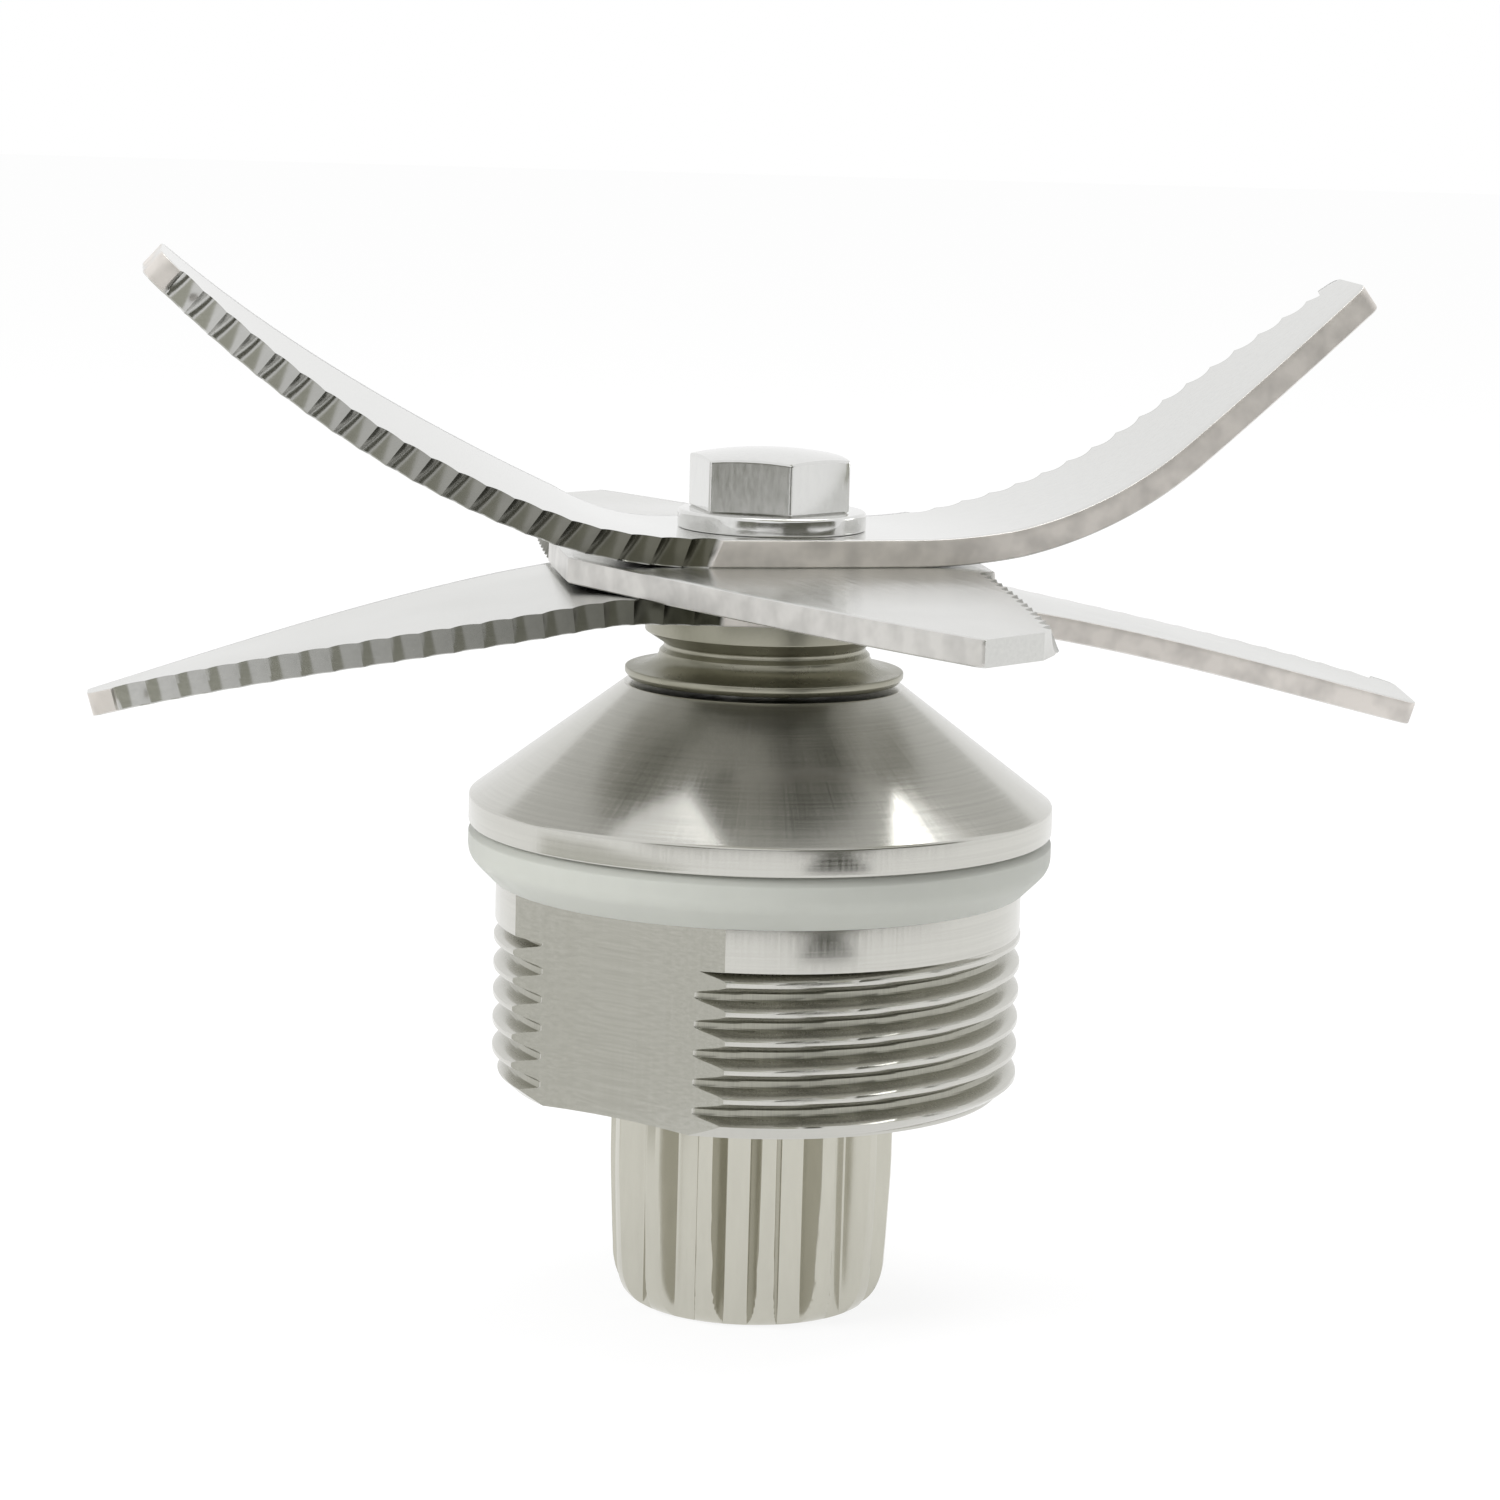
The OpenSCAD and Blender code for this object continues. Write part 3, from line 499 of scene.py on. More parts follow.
def close_tree(tree, given, geometry):
    """Ends a tree in Realize Instances and Set Material."""
    real = add(tree, "GeometryNodeRealizeInstances", {"Geometry": geometry})
    painted = add(tree, "GeometryNodeSetMaterial", {
        "Geometry": real.outputs[0], "Material": given["Material"]})
    add(tree, "NodeGroupOutput", {0: painted.outputs[0]})


def apply_tree(obj, tree, values):
    """Runs a tree on an object with its inputs given by name, and keeps the result as its mesh."""
    modifier = obj.modifiers.new(tree.name, "NODES")
    modifier.node_group = tree
    for item in tree.interface.items_tree:
        if item.in_out == "INPUT" and item.name in values:
            modifier[item.identifier] = values[item.name]
    bake(obj)


def scallop_tree():
    """Grinds a row of hollow tiles into a leading edge. Each point carries its place along the
    edge, its share of the slant and of the hollow, and the way into the steel."""
    tree, given = tree_with("Scallop grind", Pitch="Float", Width="Float", Hollow="Float")
    along, share, hollow, inward = (
        add(tree, "GeometryNodeInputNamedAttribute", {"Name": name}, data_type=kind).outputs[0]
        for name, kind in (("ground_along", "FLOAT"), ("ground_share", "FLOAT"),
                           ("ground_hollow", "FLOAT"), ("ground_inward", "FLOAT_VECTOR")))
    tiles = add(tree, "ShaderNodeMath", {0: along, 1: given["Pitch"]}, operation="DIVIDE")
    phase = add(tree, "ShaderNodeMath", {0: tiles.outputs[0]}, operation="FRACT")
    rest = add(tree, "ShaderNodeMath", {0: 1.0, 1: phase.outputs[0]}, operation="SUBTRACT")
    # 4 p (1 - p) is 0 on both ridges of a tile and 1 halfway between them
    bowl = phase.outputs[0]
    for factor in (rest.outputs[0], 4.0):
        bowl = add(tree, "ShaderNodeMath", {0: bowl, 1: factor}, operation="MULTIPLY").outputs[0]
    slant, dip = (add(tree, "ShaderNodeMath", {0: part, 1: given[label]},
                      operation="MULTIPLY").outputs[0]
                  for part, label in ((share, "Width"), (hollow, "Hollow")))
    depth = add(tree, "ShaderNodeMath", {0: bowl, 1: dip, 2: slant}, operation="MULTIPLY_ADD")
    step = add(tree, "ShaderNodeVectorMath", {0: inward, "Scale": depth.outputs[0]},
               operation="SCALE")
    moved = add(tree, "GeometryNodeSetPosition", {
        "Geometry": given["Geometry"], "Offset": step.outputs[0]})
    close_tree(tree, given, moved.outputs[0])
    return tree


def thread_tree():
    """Raises a helical ridge on a turned surface, up to the limit that each point carries, and
    marks the root between its turns with a share that darkens the steel there as painted shade."""
    tree, given = tree_with("Helical thread", Pitch="Float", Depth="Float", Start="Float",
                             Crest="Float")
    place = add(tree, "GeometryNodeInputPosition").outputs[0]
    x, y, z = add(tree, "ShaderNodeSeparateXYZ", {"Vector": place}).outputs
    limit = add(tree, "GeometryNodeInputNamedAttribute", {"Name": "thread_limit"},
                data_type="FLOAT").outputs[0]
    angle = add(tree, "ShaderNodeMath", {0: y, 1: x}, operation="ARCTAN2")
    turns = add(tree, "ShaderNodeMath", {0: angle.outputs[0], 1: TAU}, operation="DIVIDE")
    # Distance from the nearest crest, in pitches: 0 on a crest and 0.5 halfway between two
    off = z
    for operation, other in (("SUBTRACT", given["Start"]), ("DIVIDE", given["Pitch"]),
                             ("SUBTRACT", turns.outputs[0]), ("ADD", 0.5), ("FRACT", 0.0),
                             ("SUBTRACT", 0.5), ("ABSOLUTE", 0.0)):
        off = add(tree, "ShaderNodeMath", {0: off, 1: other}, operation=operation).outputs[0]
    rise = add(tree, "ShaderNodeMapRange", {
        "Value": off, "From Min": given["Crest"], "From Max": 0.42, "To Min": 1.0, "To Max": 0.0},
        interpolation_type="SMOOTHSTEP").outputs[0]
    for operation, other in (("MULTIPLY", given["Depth"]), ("MINIMUM", limit)):
        rise = add(tree, "ShaderNodeMath", {0: rise, 1: other}, operation=operation).outputs[0]
    flat = add(tree, "ShaderNodeCombineXYZ", {"X": x, "Y": y})
    out = add(tree, "ShaderNodeVectorMath", {0: flat.outputs[0]}, operation="NORMALIZE")
    step = add(tree, "ShaderNodeVectorMath", {0: out.outputs[0], "Scale": rise}, operation="SCALE")
    # The root's share, 1 in the root and 0 on the crest, darkens the steel as painted shade
    low = limit
    for operation, other in (("SUBTRACT", rise), ("DIVIDE", given["Depth"])):
        low = add(tree, "ShaderNodeMath", {0: low, 1: other}, operation=operation).outputs[0]
    shaded_root = add(tree, "GeometryNodeStoreNamedAttribute",
                      {"Geometry": given["Geometry"], "Name": "thread_root_shade", "Value": low},
                      data_type="FLOAT", domain="POINT")
    moved = add(tree, "GeometryNodeSetPosition", {
        "Geometry": shaded_root.outputs[0], "Offset": step.outputs[0]})
    close_tree(tree, given, moved.outputs[0])
    return tree


def around_tree():
    """Repeats one slice round the axis and joins the copies."""
    tree, given = tree_with("Repeat round the axis", Count="Int")
    points = add(tree, "GeometryNodePoints", {"Count": given["Count"]})
    index = add(tree, "GeometryNodeInputIndex")
    step = add(tree, "ShaderNodeMath", {0: TAU, 1: given["Count"]}, operation="DIVIDE")
    turn = add(tree, "ShaderNodeMath", {0: step.outputs[0], 1: index.outputs[0]},
               operation="MULTIPLY")
    euler = add(tree, "ShaderNodeCombineXYZ", {"Z": turn.outputs[0]})
    rotation = add(tree, "FunctionNodeEulerToRotation", {0: euler.outputs[0]})
    copies = add(tree, "GeometryNodeInstanceOnPoints", {
        "Points": points.outputs[0], "Instance": given["Geometry"],
        "Rotation": rotation.outputs[0]})
    real = add(tree, "GeometryNodeRealizeInstances", {"Geometry": copies.outputs[0]})
    joined = add(tree, "GeometryNodeMergeByDistance", {
        "Geometry": real.outputs[0], "Distance": 0.002 * MM})
    close_tree(tree, given, joined.outputs[0])
    return tree


def set_attribute(obj, name, kind, values):
    """Stores one value for each point of a mesh."""
    layer = obj.data.attributes.new(name, kind, "POINT")
    layer.data.foreach_set("vector" if kind == "FLOAT_VECTOR" else "value",
                           np.asarray(values, dtype=np.float32).ravel())


def turned_by(degrees):
    """A turn about the axis."""
    return Matrix.Rotation(radians(degrees), 4, "Z")


def prism_cutter(name, outline, low, high):
    """A block between two heights, to be cut out of a piece."""
    count = len(outline)
    points = [(x, y, z) for z in (low, high) for x, y in outline]
    faces = [tuple(range(count)), tuple(range(2 * count - 1, count - 1, -1))]
    faces += [(k, (k + 1) % count, (k + 1) % count + count, k + count) for k in range(count)]
    return new_object(name, points, faces)


def box_outline(near, far, half, place):
    """A rectangle from near to far along x and to both sides along y, put in its place."""
    return [tuple((place @ Vector((x, y, 0)))[:2])
            for x, y in ((near, -half), (far, -half), (far, half), (near, half))]


def spigot_cutter(low, high):
    """The hole with two flats that fits the shaft's spigot."""
    r, flat, steps = SPIGOT_R + FIT, SPIGOT_FLAT + FIT, 96
    ring = [(max(-flat, min(flat, r * cos(k * TAU / steps))), r * sin(k * TAU / steps))
            for k in range(steps)]
    return prism_cutter("spigot_cutter", ring, low, high)


def corner_cutter(end, distance, side, lean):
    """Takes the leading corner off one tip of the middle blade."""
    away = Matrix.Translation((size("middle_length") - distance, side, 0))
    outline = box_outline(0, 20, 15, turned_by(MIDDLE_AZIMUTH + end) @ away @ turned_by(lean))
    return prism_cutter("corner_cutter", outline, Z_MIDDLE - 1, Z_MIDDLE + size("middle_t") + 1)


def flat_cutter(side):
    """Mills one spanner flat."""
    outline = box_outline(FLAT_DISTANCE, 22, 21, turned_by(FLAT_AZIMUTH + side))
    return prism_cutter("flat_cutter", outline, Z_HOUSING - 1, Z_JAR_SEAL)


def wing_edge(half, t, lean, fade, mark):
    """One side of a wing's section, from the top face round to the underside: distance from the
    middle, height, share of the slant, share of the hollow, how far its scallops lean, and the
    marks for the sheared side and the ground band, whose dark tone is partly its ground finish and
    partly painted reflection and painted shade."""
    e = size("edge_round")
    # The grind is full at the edge and on the side's top, and fades inwards and downwards
    begun = fade * BAND_GRIND
    rows = [(half - FACE_ROW, 0, 0, 0, 0), (half - BAND_ROW, 0, begun, begun, 0),
            (half - e, 0, fade, fade, 0)]
    for k in range(SIDE_STEPS + 1):
        v = k / SIDE_STEPS
        soft = ROUND_KEPT * e * (1 - fade) if k == 0 else 0
        rows.append((half - soft, -SIDE_SHARE * t * v - soft, (1 - v) * fade,
                     (1 - (1 - FOOT_HOLLOW) * v * v) * fade, 1))
    rows += [(half - BELOW_START, -t, 0, BELOW_HOLLOW * fade, 0), (half - BELOW_END, -t, 0, 0, 0)]
    return [(y, h, slant, hollow, lean * min(1.0, -h / t), on_side * (1 - fade),
             on_side * fade * mark) for y, h, slant, hollow, on_side in rows]


def make_blade(name, kind, finish):
    """A blade lofted from the left tip over the hub to the right tip, with its leading edges
    ground and its hole cut."""
    blade, t, reach = BLADES[kind], size(kind + "_t"), size(kind + "_length")
    step, round_from = size("scallop_pitch") / 12, reach - TIP_ROUND
    az, rise = radians(blade.azimuth), blade.rise
    across = np.array([-sin(az), cos(az), 0.0])
    upright = np.array([0.0, 0.0, 1.0])
    count = round(round_from / step)
    places = [k * round_from / count for k in range(count + 1)]
    places += [round_from + TIP_ROUND * sin(k * pi / 12) for k in range(1, 7)]
    sections = []
    for lead, wing in zip((-1, 1), blade.wings):
        out = lead * np.array([cos(az), sin(az), 0.0])
        rows, before, here = [], 0.0, np.zeros(2)
        for s in places:
            middle = wing_slope(wing, reach, (s + before) / 2)
            here = here + (s - before) * np.array([cos(middle), rise * sin(middle)])
            before = s
            u = s / reach
            slope = wing_slope(wing, reach, s)
            turn = wing_turn(wing, reach, s)
            half = blade.hub_w + (blade.tip_w - blade.hub_w) * u + blade.bulge * 4 * u * (1 - u)
            over = max(0.0, s - round_from)
            half -= TIP_ROUND - sqrt(max(0.0, TIP_ROUND * TIP_ROUND - over * over))
            forward = cos(slope) * out + rise * sin(slope) * upright
            normal = -rise * sin(slope) * out + cos(slope) * upright
            b = cos(turn) * across + sin(turn) * normal
            n = -sin(turn) * across + cos(turn) * normal
            centre = here[0] * out + (here[1] + t + blade.low) * upright
            past = s - wing.scallops
            fade = min(1.0, max(0.0, past / FADE), max(0.0, (reach - PLAIN_TIP - s) / FADE))
            lean = size("scallop_lean") * blade.lean * (1 - u) * min(1.0, s / wing.scallops)
            # The ground band's dark tone grows towards the hub: painted shade
            mark = min(1.0, BAND_SHADE_AT_HUB + (BAND_SHADE_AT_TIP - BAND_SHADE_AT_HUB) * u)
            sides = {sign: wing_edge(half, t, lean if sign == lead else 0.0,
                                     fade if sign == lead else 0.0, mark) for sign in (-1, 1)}
            loop = [(0.0,) * 7] + [(-y, *rest) for y, *rest in sides[-1]]
            loop += [(0.0, -t, 0.0, 0.0, 0.0, 0.0, 0.0)] + sides[1][::-1]
            rows.append([(centre + y * b + h * n + d * forward, past * MM, slant, hollow, sheared,
                          ground, -lead * b) for y, h, slant, hollow, d, sheared, ground in loop])
        sections += rows[:0:-1] if lead < 0 else rows
    ring, last = len(sections[0]), len(sections) - 1
    faces = [(k * ring + j, k * ring + (j + 1) % ring, (k + 1) * ring + (j + 1) % ring,
              (k + 1) * ring + j) for k in range(last) for j in range(ring)]
    faces += [tuple(range(ring - 1, -1, -1)), tuple(last * ring + j for j in range(ring))]
    points, *marks, inward = zip(*(point for section in sections for point in section))
    obj = new_object(name, points, faces, merge=False)
    labels = "ground_along", "ground_share", "ground_hollow", "sheared", "ground"
    for label, values in zip(labels, marks):
        set_attribute(obj, label, "FLOAT", values)
    set_attribute(obj, "ground_inward", "FLOAT_VECTOR", inward)
    apply_tree(obj, scallop_tree(), {
        "Pitch": size("scallop_pitch") * MM, "Width": size("grind_w") * MM,
        "Hollow": size("scallop_depth") * MM, "Material": finish_of(finish)})
    cut(obj, [spigot_cutter(blade.low - 1, blade.low + t + 1)])
    return obj


class AddTopBlade(bpy.types.Operator):
    """Add the top blade, whose two wings curve upwards"""
    bl_idname = "blade_assembly.add_top_blade"
    bl_label = "Top blade"

    def execute(self, context):
        blade = make_blade("top_blade_polished", "top", "polished_steel")
        dress(blade, "polished_steel", "top_blade", "spindle")
        return {"FINISHED"}


class AddLowerBlades(bpy.types.Operator):
    """Add the flat middle blade and the bottom blade, whose wings slope down"""
    bl_idname = "blade_assembly.add_lower_blades"
    bl_label = "Middle and bottom blades"

    def execute(self, context):
        blade = make_blade("bottom_blade_ground", "bottom", "blade_steel")
        dress(blade, "blade_steel", "bottom_blade", "spindle")
        blade = make_blade("middle_blade_ground", "middle", "middle_steel")
        cut(blade, [corner_cutter(end, *corner) for end in (0, 180) for corner in MIDDLE_CORNERS])
        dress(blade, "blade_steel", "middle_blade", "spindle", finish="middle_steel")
        return {"FINISHED"}


class AddSlinger(bpy.types.Operator):
    """Add the slinger that carries the blades and throws liquid off the seal"""
    bl_idname = "blade_assembly.add_slinger"
    bl_label = "Slinger"

    def execute(self, context):
        rim_r, flare_r, collar_r, bore_r, spigot_r = 9.8, 7.4, 8.45, SHAFT_R + FIT, SPIGOT_R + FIT
        neck_r, rim_z, flare_z, shoulder_z, top = 7.1, 0.75, 1.9, 1.15, 5.4
        outline = [(bore_r, 0, 0), (9.5, 0, 0.1), (rim_r, 0.35, 0.2), (rim_r, rim_z, 0.12)]
        for k in range(1, 12):
            a = k * pi / 24
            outline.append((rim_r - (rim_r - flare_r) * sin(a),
                            flare_z - (flare_z - rim_z) * cos(a), 0))
        outline += [(flare_r, flare_z, 0.1), (neck_r, 2.2, 0.15), (neck_r, 2.5, 0.2),
                    (collar_r, 3.35, 0.15), (collar_r, top, 0.15), (spigot_r, top, 0),
                    (spigot_r, shoulder_z, 0), (bore_r, shoulder_z, 0)]
        outline = [(r, z + Z_SLINGER) for r, z in fillet(outline)]
        piece = new_object("slinger_sintered", *revolve(outline))
        dress(piece, "olive_steel", "slinger", "spindle", finish="slinger_steel")
        return {"FINISHED"}


class AddBolt(bpy.types.Operator):
    """Add the hexagon bolt and the washer on top of the blades"""
    bl_idname = "blade_assembly.add_bolt"
    bl_label = "Bolt and washer"

    def execute(self, context):
        across_flats, head_h, rise, edge, bevel = 10.1, 4.3, 0.65, 0.06, 0.15
        shank_r, shank_end_r, shank_l, chamfer = 2.95, 2.3, 16, 0.6
        head_r = across_flats / sqrt(3)
        dome_r = (head_r ** 2 + rise ** 2) / (2 * rise)

        def dome(r):
            return Z_HEAD + head_h - dome_r + sqrt(dome_r ** 2 - r ** 2)

        def profile(r):
            end, shoulder = Z_HEAD - shank_l, dome(r)
            rows = [(0, end), (shank_end_r, end), (shank_r, end + chamfer), (shank_r, Z_HEAD),
                    (r - bevel, Z_HEAD), (r, Z_HEAD + bevel), (r, Z_HEAD + 0.25),
                    (r, shoulder - 0.22), (r, shoulder - 0.12),
                    (r - edge, dome(r - edge) - 0.02)]
            inward = [(r - edge) * (1 - k / 16) ** 1.3 for k in range(1, 17)]
            return rows + [(q, dome(q)) for q in inward]

        corners = [polar(head_r, radians(60 * k - 15), 0.28) for k in range(6)]
        columns = upright_columns(subdivide(fillet(corners, 6), 0.35), profile)
        bolt = new_object("hex_bolt_polished", *mesh_grid(columns))
        dress(bolt, "polished_steel", "hex_bolt", "spindle", finish="bolt_steel")
        hole_r, washer_r, washer_t, shift = 3.3, 6.6, 1.3, 0.25
        outline = fillet([(hole_r, 0, 0), (washer_r, 0, 0.15), (washer_r, washer_t, 0.3),
                          (hole_r, washer_t, 0)])
        points, faces = revolve([(r, z + Z_WASHER) for r, z in outline])
        washer = new_object("washer_polished", points + np.array([shift, 0, 0]), faces)
        dress(washer, "polished_steel", "bolt_washer", "spindle", finish="bolt_steel")
        return {"FINISHED"}


class AddHousing(bpy.types.Operator):
    """Add the bearing housing with its thread, spanner flats, rim, cone and stepped bore"""
    bl_idname = "blade_assembly.add_housing"
    bl_label = "Bearing housing"

    def execute(self, context):
        depth, turns, row, crest_w = size("thread_depth"), 288, 0.1, 0.06
        low_r, neck_r, cone_top_r, root = 17.45, 18.6, 9.85, CREST_R - depth
        thread_low, thread_high = Z_HOUSING + 0.12, Z_NECK - 0.17
        circlip_r = BORE_R + CIRCLIP_DEPTH
        circlip_low, circlip_top = Z_CIRCLIP - FIT, Z_CIRCLIP + CIRCLIP_T
        outline = [(low_r, Z_HOUSING)]
        outline += [(root, thread_low + k * row)
                    for k in range(round((thread_high - thread_low) / row) + 1)]
        outline += fillet([
            (root, thread_high, 0), (neck_r, Z_NECK, 0.1), (neck_r, Z_JAR_SEAL, 0.05),
            (SEAL_SEAT_R, Z_JAR_SEAL, 0), (SEAL_SEAT_R, Z_RIM, 0), (RIM_R, Z_RIM, 0.25),
            (RIM_R, Z_CONE, 0.3), (cone_top_r, Z_CONE_TOP, 0.2), (HOLE_R, Z_CONE_TOP, 0.2),
            (HOLE_R, Z_POCKET_TOP, 0), (POCKET_R, Z_POCKET_TOP, 0), (POCKET_R, Z_BORE_TOP, 0.1),
            (BORE_R, Z_BORE_TOP, 0), (BORE_R, circlip_top, 0), (circlip_r, circlip_top, 0),
            (circlip_r, circlip_low, 0), (BORE_R, circlip_low, 0), (BORE_R, Z_HOUSING, 0.3)])[1:]
        housing = new_object("bearing_housing_turned", *revolve(outline, turns), merge=False)
        # The ridge rises out of a chamfer at the lower end
        chamfer_l, chamfer_slope, chamfer_drop = 1.5, 1.15, 0.12
        limit = []
        for r, z in outline:
            on_thread = abs(r - root) < 1e-6 and z < Z_NECK
            up = z - Z_HOUSING
            room = up * chamfer_slope - chamfer_drop if up < chamfer_l else depth
            limit.append(max(0.0, min(depth, room)) * MM if on_thread else 0.0)
        set_attribute(housing, "thread_limit", "FLOAT", limit * turns)
        apply_tree(housing, thread_tree(), {
            "Pitch": size("thread_pitch") * MM, "Depth": depth * MM, "Start": Z_THREAD_START * MM,
            "Crest": crest_w, "Material": finish_of("turned_steel")})
        cut(housing, [flat_cutter(side) for side in (0, 180)])
        dress(housing, "turned_steel", "bearing_housing", "housing", 18)
        return {"FINISHED"}


class AddJarSeal(bpy.types.Operator):
    """Add the silicone ring under the rim"""
    bl_idname = "blade_assembly.add_jar_seal"
    bl_label = "Jar seal"

    def execute(self, context):
        inner_r, low, high = SEAL_SEAT_R + 0.3, Z_JAR_SEAL + FIT, Z_RIM - FIT
        outline = fillet([(inner_r, low, 0.2), (18.9, low, 0.3), (RIM_R, low + 1.7, 1.6),
                          (RIM_R, high - 0.6, 0.2), (19.98, high, 0.6), (inner_r, high, 0.2)], 8)
        seal = new_object("jar_seal_moulded", *revolve(outline))
        dress(seal, "silicone", "jar_seal", "housing", 50)
        return {"FINISHED"}


class AddCoupling(bpy.types.Operator):
    """Add the splined drive coupling under the housing"""
    bl_idname = "blade_assembly.add_coupling"
    bl_label = "Drive coupling"

    def execute(self, context):
        teeth = context.scene.blade_sizes.spline_teeth
        pitch = TAU / teeth
        tip_r, root_r, foot_r, lead_in, top, bevel = 10.1, 8.4, 7.9, 3.3, 16.6, 0.1
        collar_r, collar_top, bore_r, bore_floor = 6.4, 17.48, SHAFT_R + FIT, 3.18
        half_land, half_gap = 0.5, 0.8
        shoulder = tip_r - (tip_r - foot_r) * 0.15
        land, floor = asin(half_land / tip_r), pitch / 2 - asin(half_gap / root_r)
        corners = [polar(*corner) for corner in (
            (root_r, -pitch / 2, 0), (root_r, -floor, 0.18), (tip_r, -land, 0.16),
            (tip_r, land, 0.16), (root_r, floor, 0.18), (root_r, pitch / 2, 0))]
        section = subdivide(fillet(corners, 5), 0.22)
        section = section[:section.index(corners[-1][:2]) + 1]

        def profile(r):
            rows = [(0, 0), (foot_r * 0.5, 0)]
            for k in range(25):
                b = k * pi / 48
                swell = foot_r + (shoulder - foot_r) * sin(b)
                rows.append((soft_min(r, swell), lead_in * (1 - cos(b))))
            for k in range(1, 12):
                swell = shoulder + (tip_r - shoulder) * min(1.0, k / 6)
                rows.append((soft_min(r, swell + 0.02),
                             lead_in + (top - bevel - lead_in) * k / 11 - bevel * (k == 11)))
            return rows + [(r - 0.12, top), (collar_r, top), (collar_r, collar_top),
                           (bore_r, collar_top), (bore_r, bore_floor), (0, bore_floor)]

        columns = upright_columns(section, profile, radians(COUPLING_AZIMUTH))
        piece = new_object("drive_coupling_sintered", *mesh_grid(columns, closed=False))
        apply_tree(piece, around_tree(), {"Count": teeth, "Material": finish_of("olive_steel")})
        dress(piece, "olive_steel", "drive_coupling", "spindle", 28)
        return {"FINISHED"}


class FinishInnerPieces(bpy.types.Operator):
    """Give the carried-over inner pieces their finishes"""
    bl_idname = "blade_assembly.finish_inner_pieces"
    bl_label = "Inner pieces"

    def execute(self, context):
        for name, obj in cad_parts.items():
            for part, kind in INNER_FINISHES:
                if part in name:
                    obj.data.materials.clear()
                    obj.data.materials.append(finish_of(kind))
                    break
        return {"FINISHED"}


class BuildStage(bpy.types.Operator):
    """Add the floor, the cards, the lights, the world and the camera"""
    bl_idname = "blade_assembly.build_stage"
    bl_label = "Stage, light and camera"

    def execute(self, context):
        scene = context.scene
        scene.view_settings.view_transform = "Standard"
        make_world(scene)
        make_floor()
        make_lights()
        make_camera(scene)
        return {"FINISHED"}


def shown_directly(tree):
    """1 for camera, glossy and transmission rays, and 0 for the rays that carry diffuse light."""
    rays = add(tree, "ShaderNodeLightPath").outputs
    first = add(tree, "ShaderNodeMath", {0: rays["Is Camera Ray"], 1: rays["Is Glossy Ray"]},
                operation="ADD")
    both = add(tree, "ShaderNodeMath", {0: first.outputs[0], 1: rays["Is Transmission Ray"]},
               operation="ADD", use_clamp=True)
    return both.outputs[0]


def make_world(scene):
    """A white studio: full white where it is seen, a little less as light."""
    scene.world = bpy.data.worlds.new("White studio")
    tree = empty_tree(scene.world)
    light, shown = (add(tree, "ShaderNodeBackground", {"Color": (1, 1, 1, 1), "Strength": strength})
                    for strength in (0.75, 1.0))
    mix = add(tree, "ShaderNodeMixShader", {
        "Fac": shown_directly(tree), 1: light.outputs[0], 2: shown.outputs[0]})
    add(tree, "ShaderNodeOutputWorld", {"Surface": mix.outputs[0]})


def flat_sheet(name, centre, across, up, material):
    """A flat sheet of the stage, from its middle and its half-width and half-height vectors."""
    centre, across, up = (np.array(v, dtype=float) for v in (centre, across, up))
    obj = new_object(name, [centre - across - up, centre + across - up, centre + across + up,
                            centre - across + up], [(0, 1, 2, 3)])
    obj.data.materials.append(material)
    return obj


def make_floor():
    """A white paper floor that keeps the object's soft shadow."""
    material = bpy.data.materials.new("White paper floor")
    tree = empty_tree(material)
    paper = add(tree, "ShaderNodeBsdfDiffuse", {"Color": (0.9, 0.9, 0.9, 1)})
    glow = add(tree, "ShaderNodeEmission", {"Color": (1, 1, 1, 1), "Strength": 1.06})
    share = add(tree, "ShaderNodeMath", {0: shown_directly(tree), 1: 0.8}, operation="MULTIPLY")
    mix = add(tree, "ShaderNodeMixShader", {
        "Fac": share.outputs[0], 1: paper.outputs[0], 2: glow.outputs[0]})
    add(tree, "ShaderNodeOutputMaterial", {"Surface": mix.outputs[0]})
    floor = flat_sheet("floor", (0, 0, -0.05), (3000, 0, 0), (0, 3000, 0), material)


def make_card(name, centre, across, up, code):
    """A flat card that only reflections see."""
    material = bpy.data.materials.new(name + "_paper")
    tree = empty_tree(material)
    glow = add(tree, "ShaderNodeEmission", {"Color": opaque(code), "Strength": 1.0})
    add(tree, "ShaderNodeOutputMaterial", {"Surface": glow.outputs[0]})
    card = flat_sheet(name, centre, across, up, material)
    card.visible_camera = card.visible_diffuse = card.visible_shadow = False
    card.visible_transmission = False


def make_lights():
    """Softboxes and dark cards: the cards draw the dark streaks that shape the bright steel."""
    for name, place, aim, width, height, power, mirrored in LAMPS:
        lamp = bpy.data.lights.new(name, "AREA")
        lamp.shape, lamp.energy = "RECTANGLE", power
        lamp.size, lamp.size_y = width * MM, height * MM
        obj = bpy.data.objects.new(name, lamp)
        obj.location = Vector(place) * MM
        obj.rotation_mode = "QUATERNION"
        obj.rotation_quaternion = (Vector(aim) - Vector(place)).to_track_quat("-Z", "Y")
        obj.visible_glossy = mirrored
        bpy.context.scene.collection.objects.link(obj)
    for card in CARDS:
        make_card(*card)


# Lamps: name, place, aim, width, height, power in watts, and whether steel mirrors them
LAMPS = (
    ("softbox_left", (-500, -250, 350), (0, 0, 40), 350, 350, 2.2, False),
    ("softbox_top", (100, 100, 600), (0, 0, 40), 400, 400, 2.0, True),
)
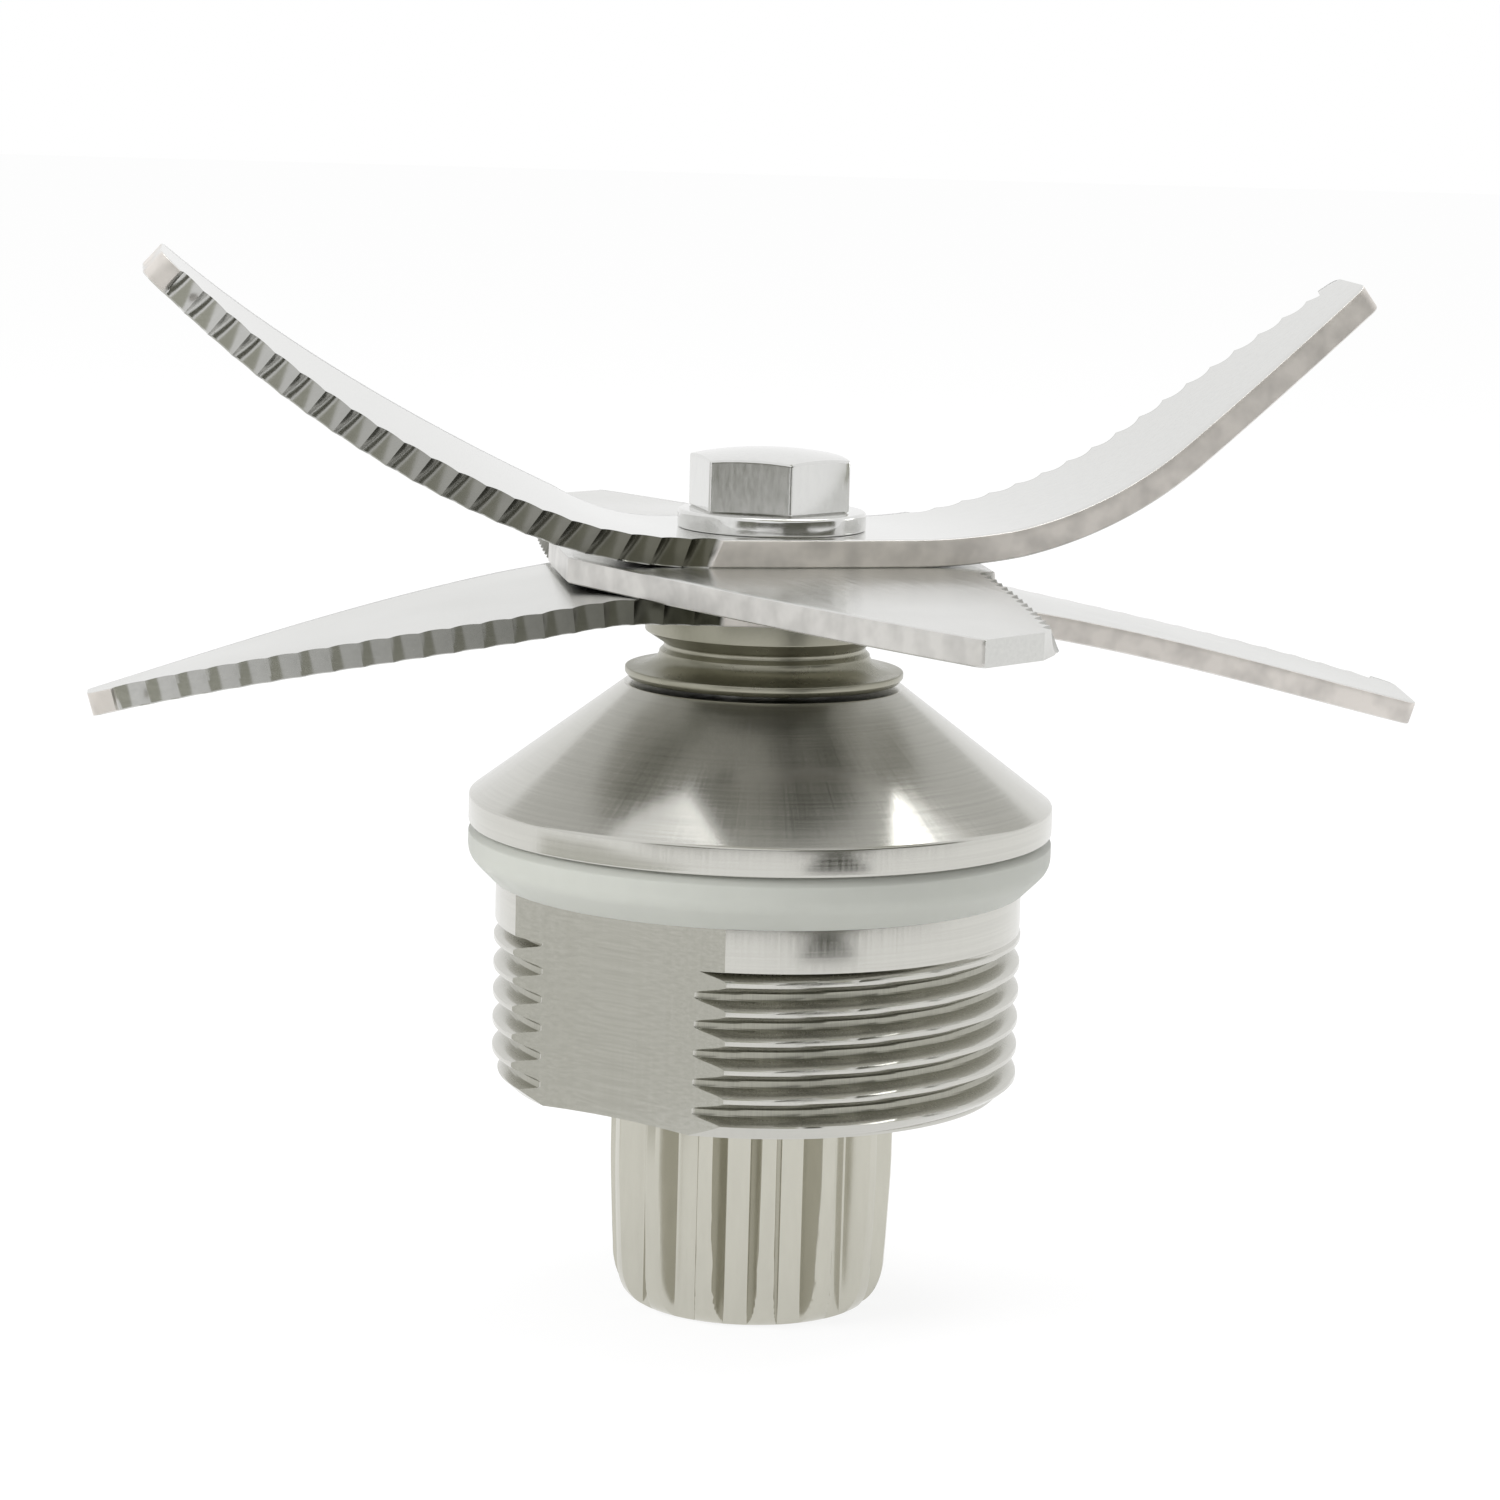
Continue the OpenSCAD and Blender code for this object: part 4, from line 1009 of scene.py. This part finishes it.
# Cards: name, centre, half-width vector, half-height vector, tone
CARDS = (
    ("card_front", (0, -700, 60), (420, 0, 0), (0, 0, 60), "#5A5A52"),
    ("card_right", (600, -350, 150), (150, 260, 0), (0, 0, 150), "#6A6A60"),
    ("card_left", (-350, -600, 60), (120, -70, 0), (0, 0, 150), "#77776C"),
    ("card_above", (60, 120, 700), (160, 0, 0), (0, 120, 0), "#55554C"),
    ("card_grind", (181, -216, 530), (260, 218, 0), (-170, 203, 141), "#BDBDB1"),
    ("card_bolt", (190, -345, 85), (95, 55, 0), (0, 0, 85), "#5A5A50"),
    ("card_facet", (-245, -415, 20), (95, -56, 0), (0, 0, 19), "#6F6F64"),
    ("card_patch", (112, -205, 0.6), (26, 14, 0), (50, -92, 0), "#4A4A42"),
    ("card_flat", (-150, -61, 0.5), (95, 0, 0), (0, 60, 0), "#DADAD4"),
)


def make_camera(scene):
    """The camera at the photograph's place and angle."""
    data = bpy.data.cameras.new("camera")
    data.sensor_width, data.lens = 36, CAMERA_LENS
    data.clip_start, data.clip_end = 0.01, 20
    right = Vector((cos(CAMERA_PAN), -sin(CAMERA_PAN), 0))
    level = Vector((sin(CAMERA_PAN), cos(CAMERA_PAN), 0))
    up = level * sin(CAMERA_PITCH) + Vector((0, 0, cos(CAMERA_PITCH)))
    forward = level * cos(CAMERA_PITCH) - Vector((0, 0, sin(CAMERA_PITCH)))
    rolled_right = cos(CAMERA_ROLL) * right + sin(CAMERA_ROLL) * up
    rolled_up = -sin(CAMERA_ROLL) * right + cos(CAMERA_ROLL) * up
    matrix = Matrix((rolled_right, rolled_up, -forward)).transposed().to_4x4()
    matrix.translation = Vector(CAMERA_PLACE) * MM
    camera = bpy.data.objects.new("camera", data)
    camera.matrix_world = matrix
    scene.collection.objects.link(camera)
    scene.camera = camera


class BladeAssemblyPanel(bpy.types.Panel):
    """Sizes, finishes and build steps of the blade assembly"""
    bl_idname = "VIEW3D_PT_blade_assembly"
    bl_label = "Blade Assembly"
    bl_space_type = "VIEW_3D"
    bl_region_type = "UI"
    bl_category = "Blade Assembly"

    def draw(self, context):
        for holder in (context.scene.blade_sizes, context.scene.blade_finishes):
            box = self.layout.box()
            for name in holder.__annotations__:
                box.prop(holder, name)
        for operator in OPERATORS:
            self.layout.operator(operator.bl_idname)


OPERATORS = (AddTopBlade, AddLowerBlades, AddSlinger, AddBolt, AddHousing, AddJarSeal, AddCoupling,
             FinishInnerPieces, BuildStage)
CLASSES = (BladeSizes, BladeFinishes, *OPERATORS, BladeAssemblyPanel)


def register():
    for cls in CLASSES:
        bpy.utils.register_class(cls)
    bpy.types.Scene.blade_sizes = bpy.props.PointerProperty(type=BladeSizes)
    bpy.types.Scene.blade_finishes = bpy.props.PointerProperty(type=BladeFinishes)


def unregister():
    del bpy.types.Scene.blade_finishes
    del bpy.types.Scene.blade_sizes
    for cls in reversed(CLASSES):
        bpy.utils.unregister_class(cls)


def main():
    register()
    for operator in OPERATORS:
        group, name = operator.bl_idname.split(".")
        getattr(getattr(bpy.ops, group), name)()


if __name__ == "__main__":
    main()
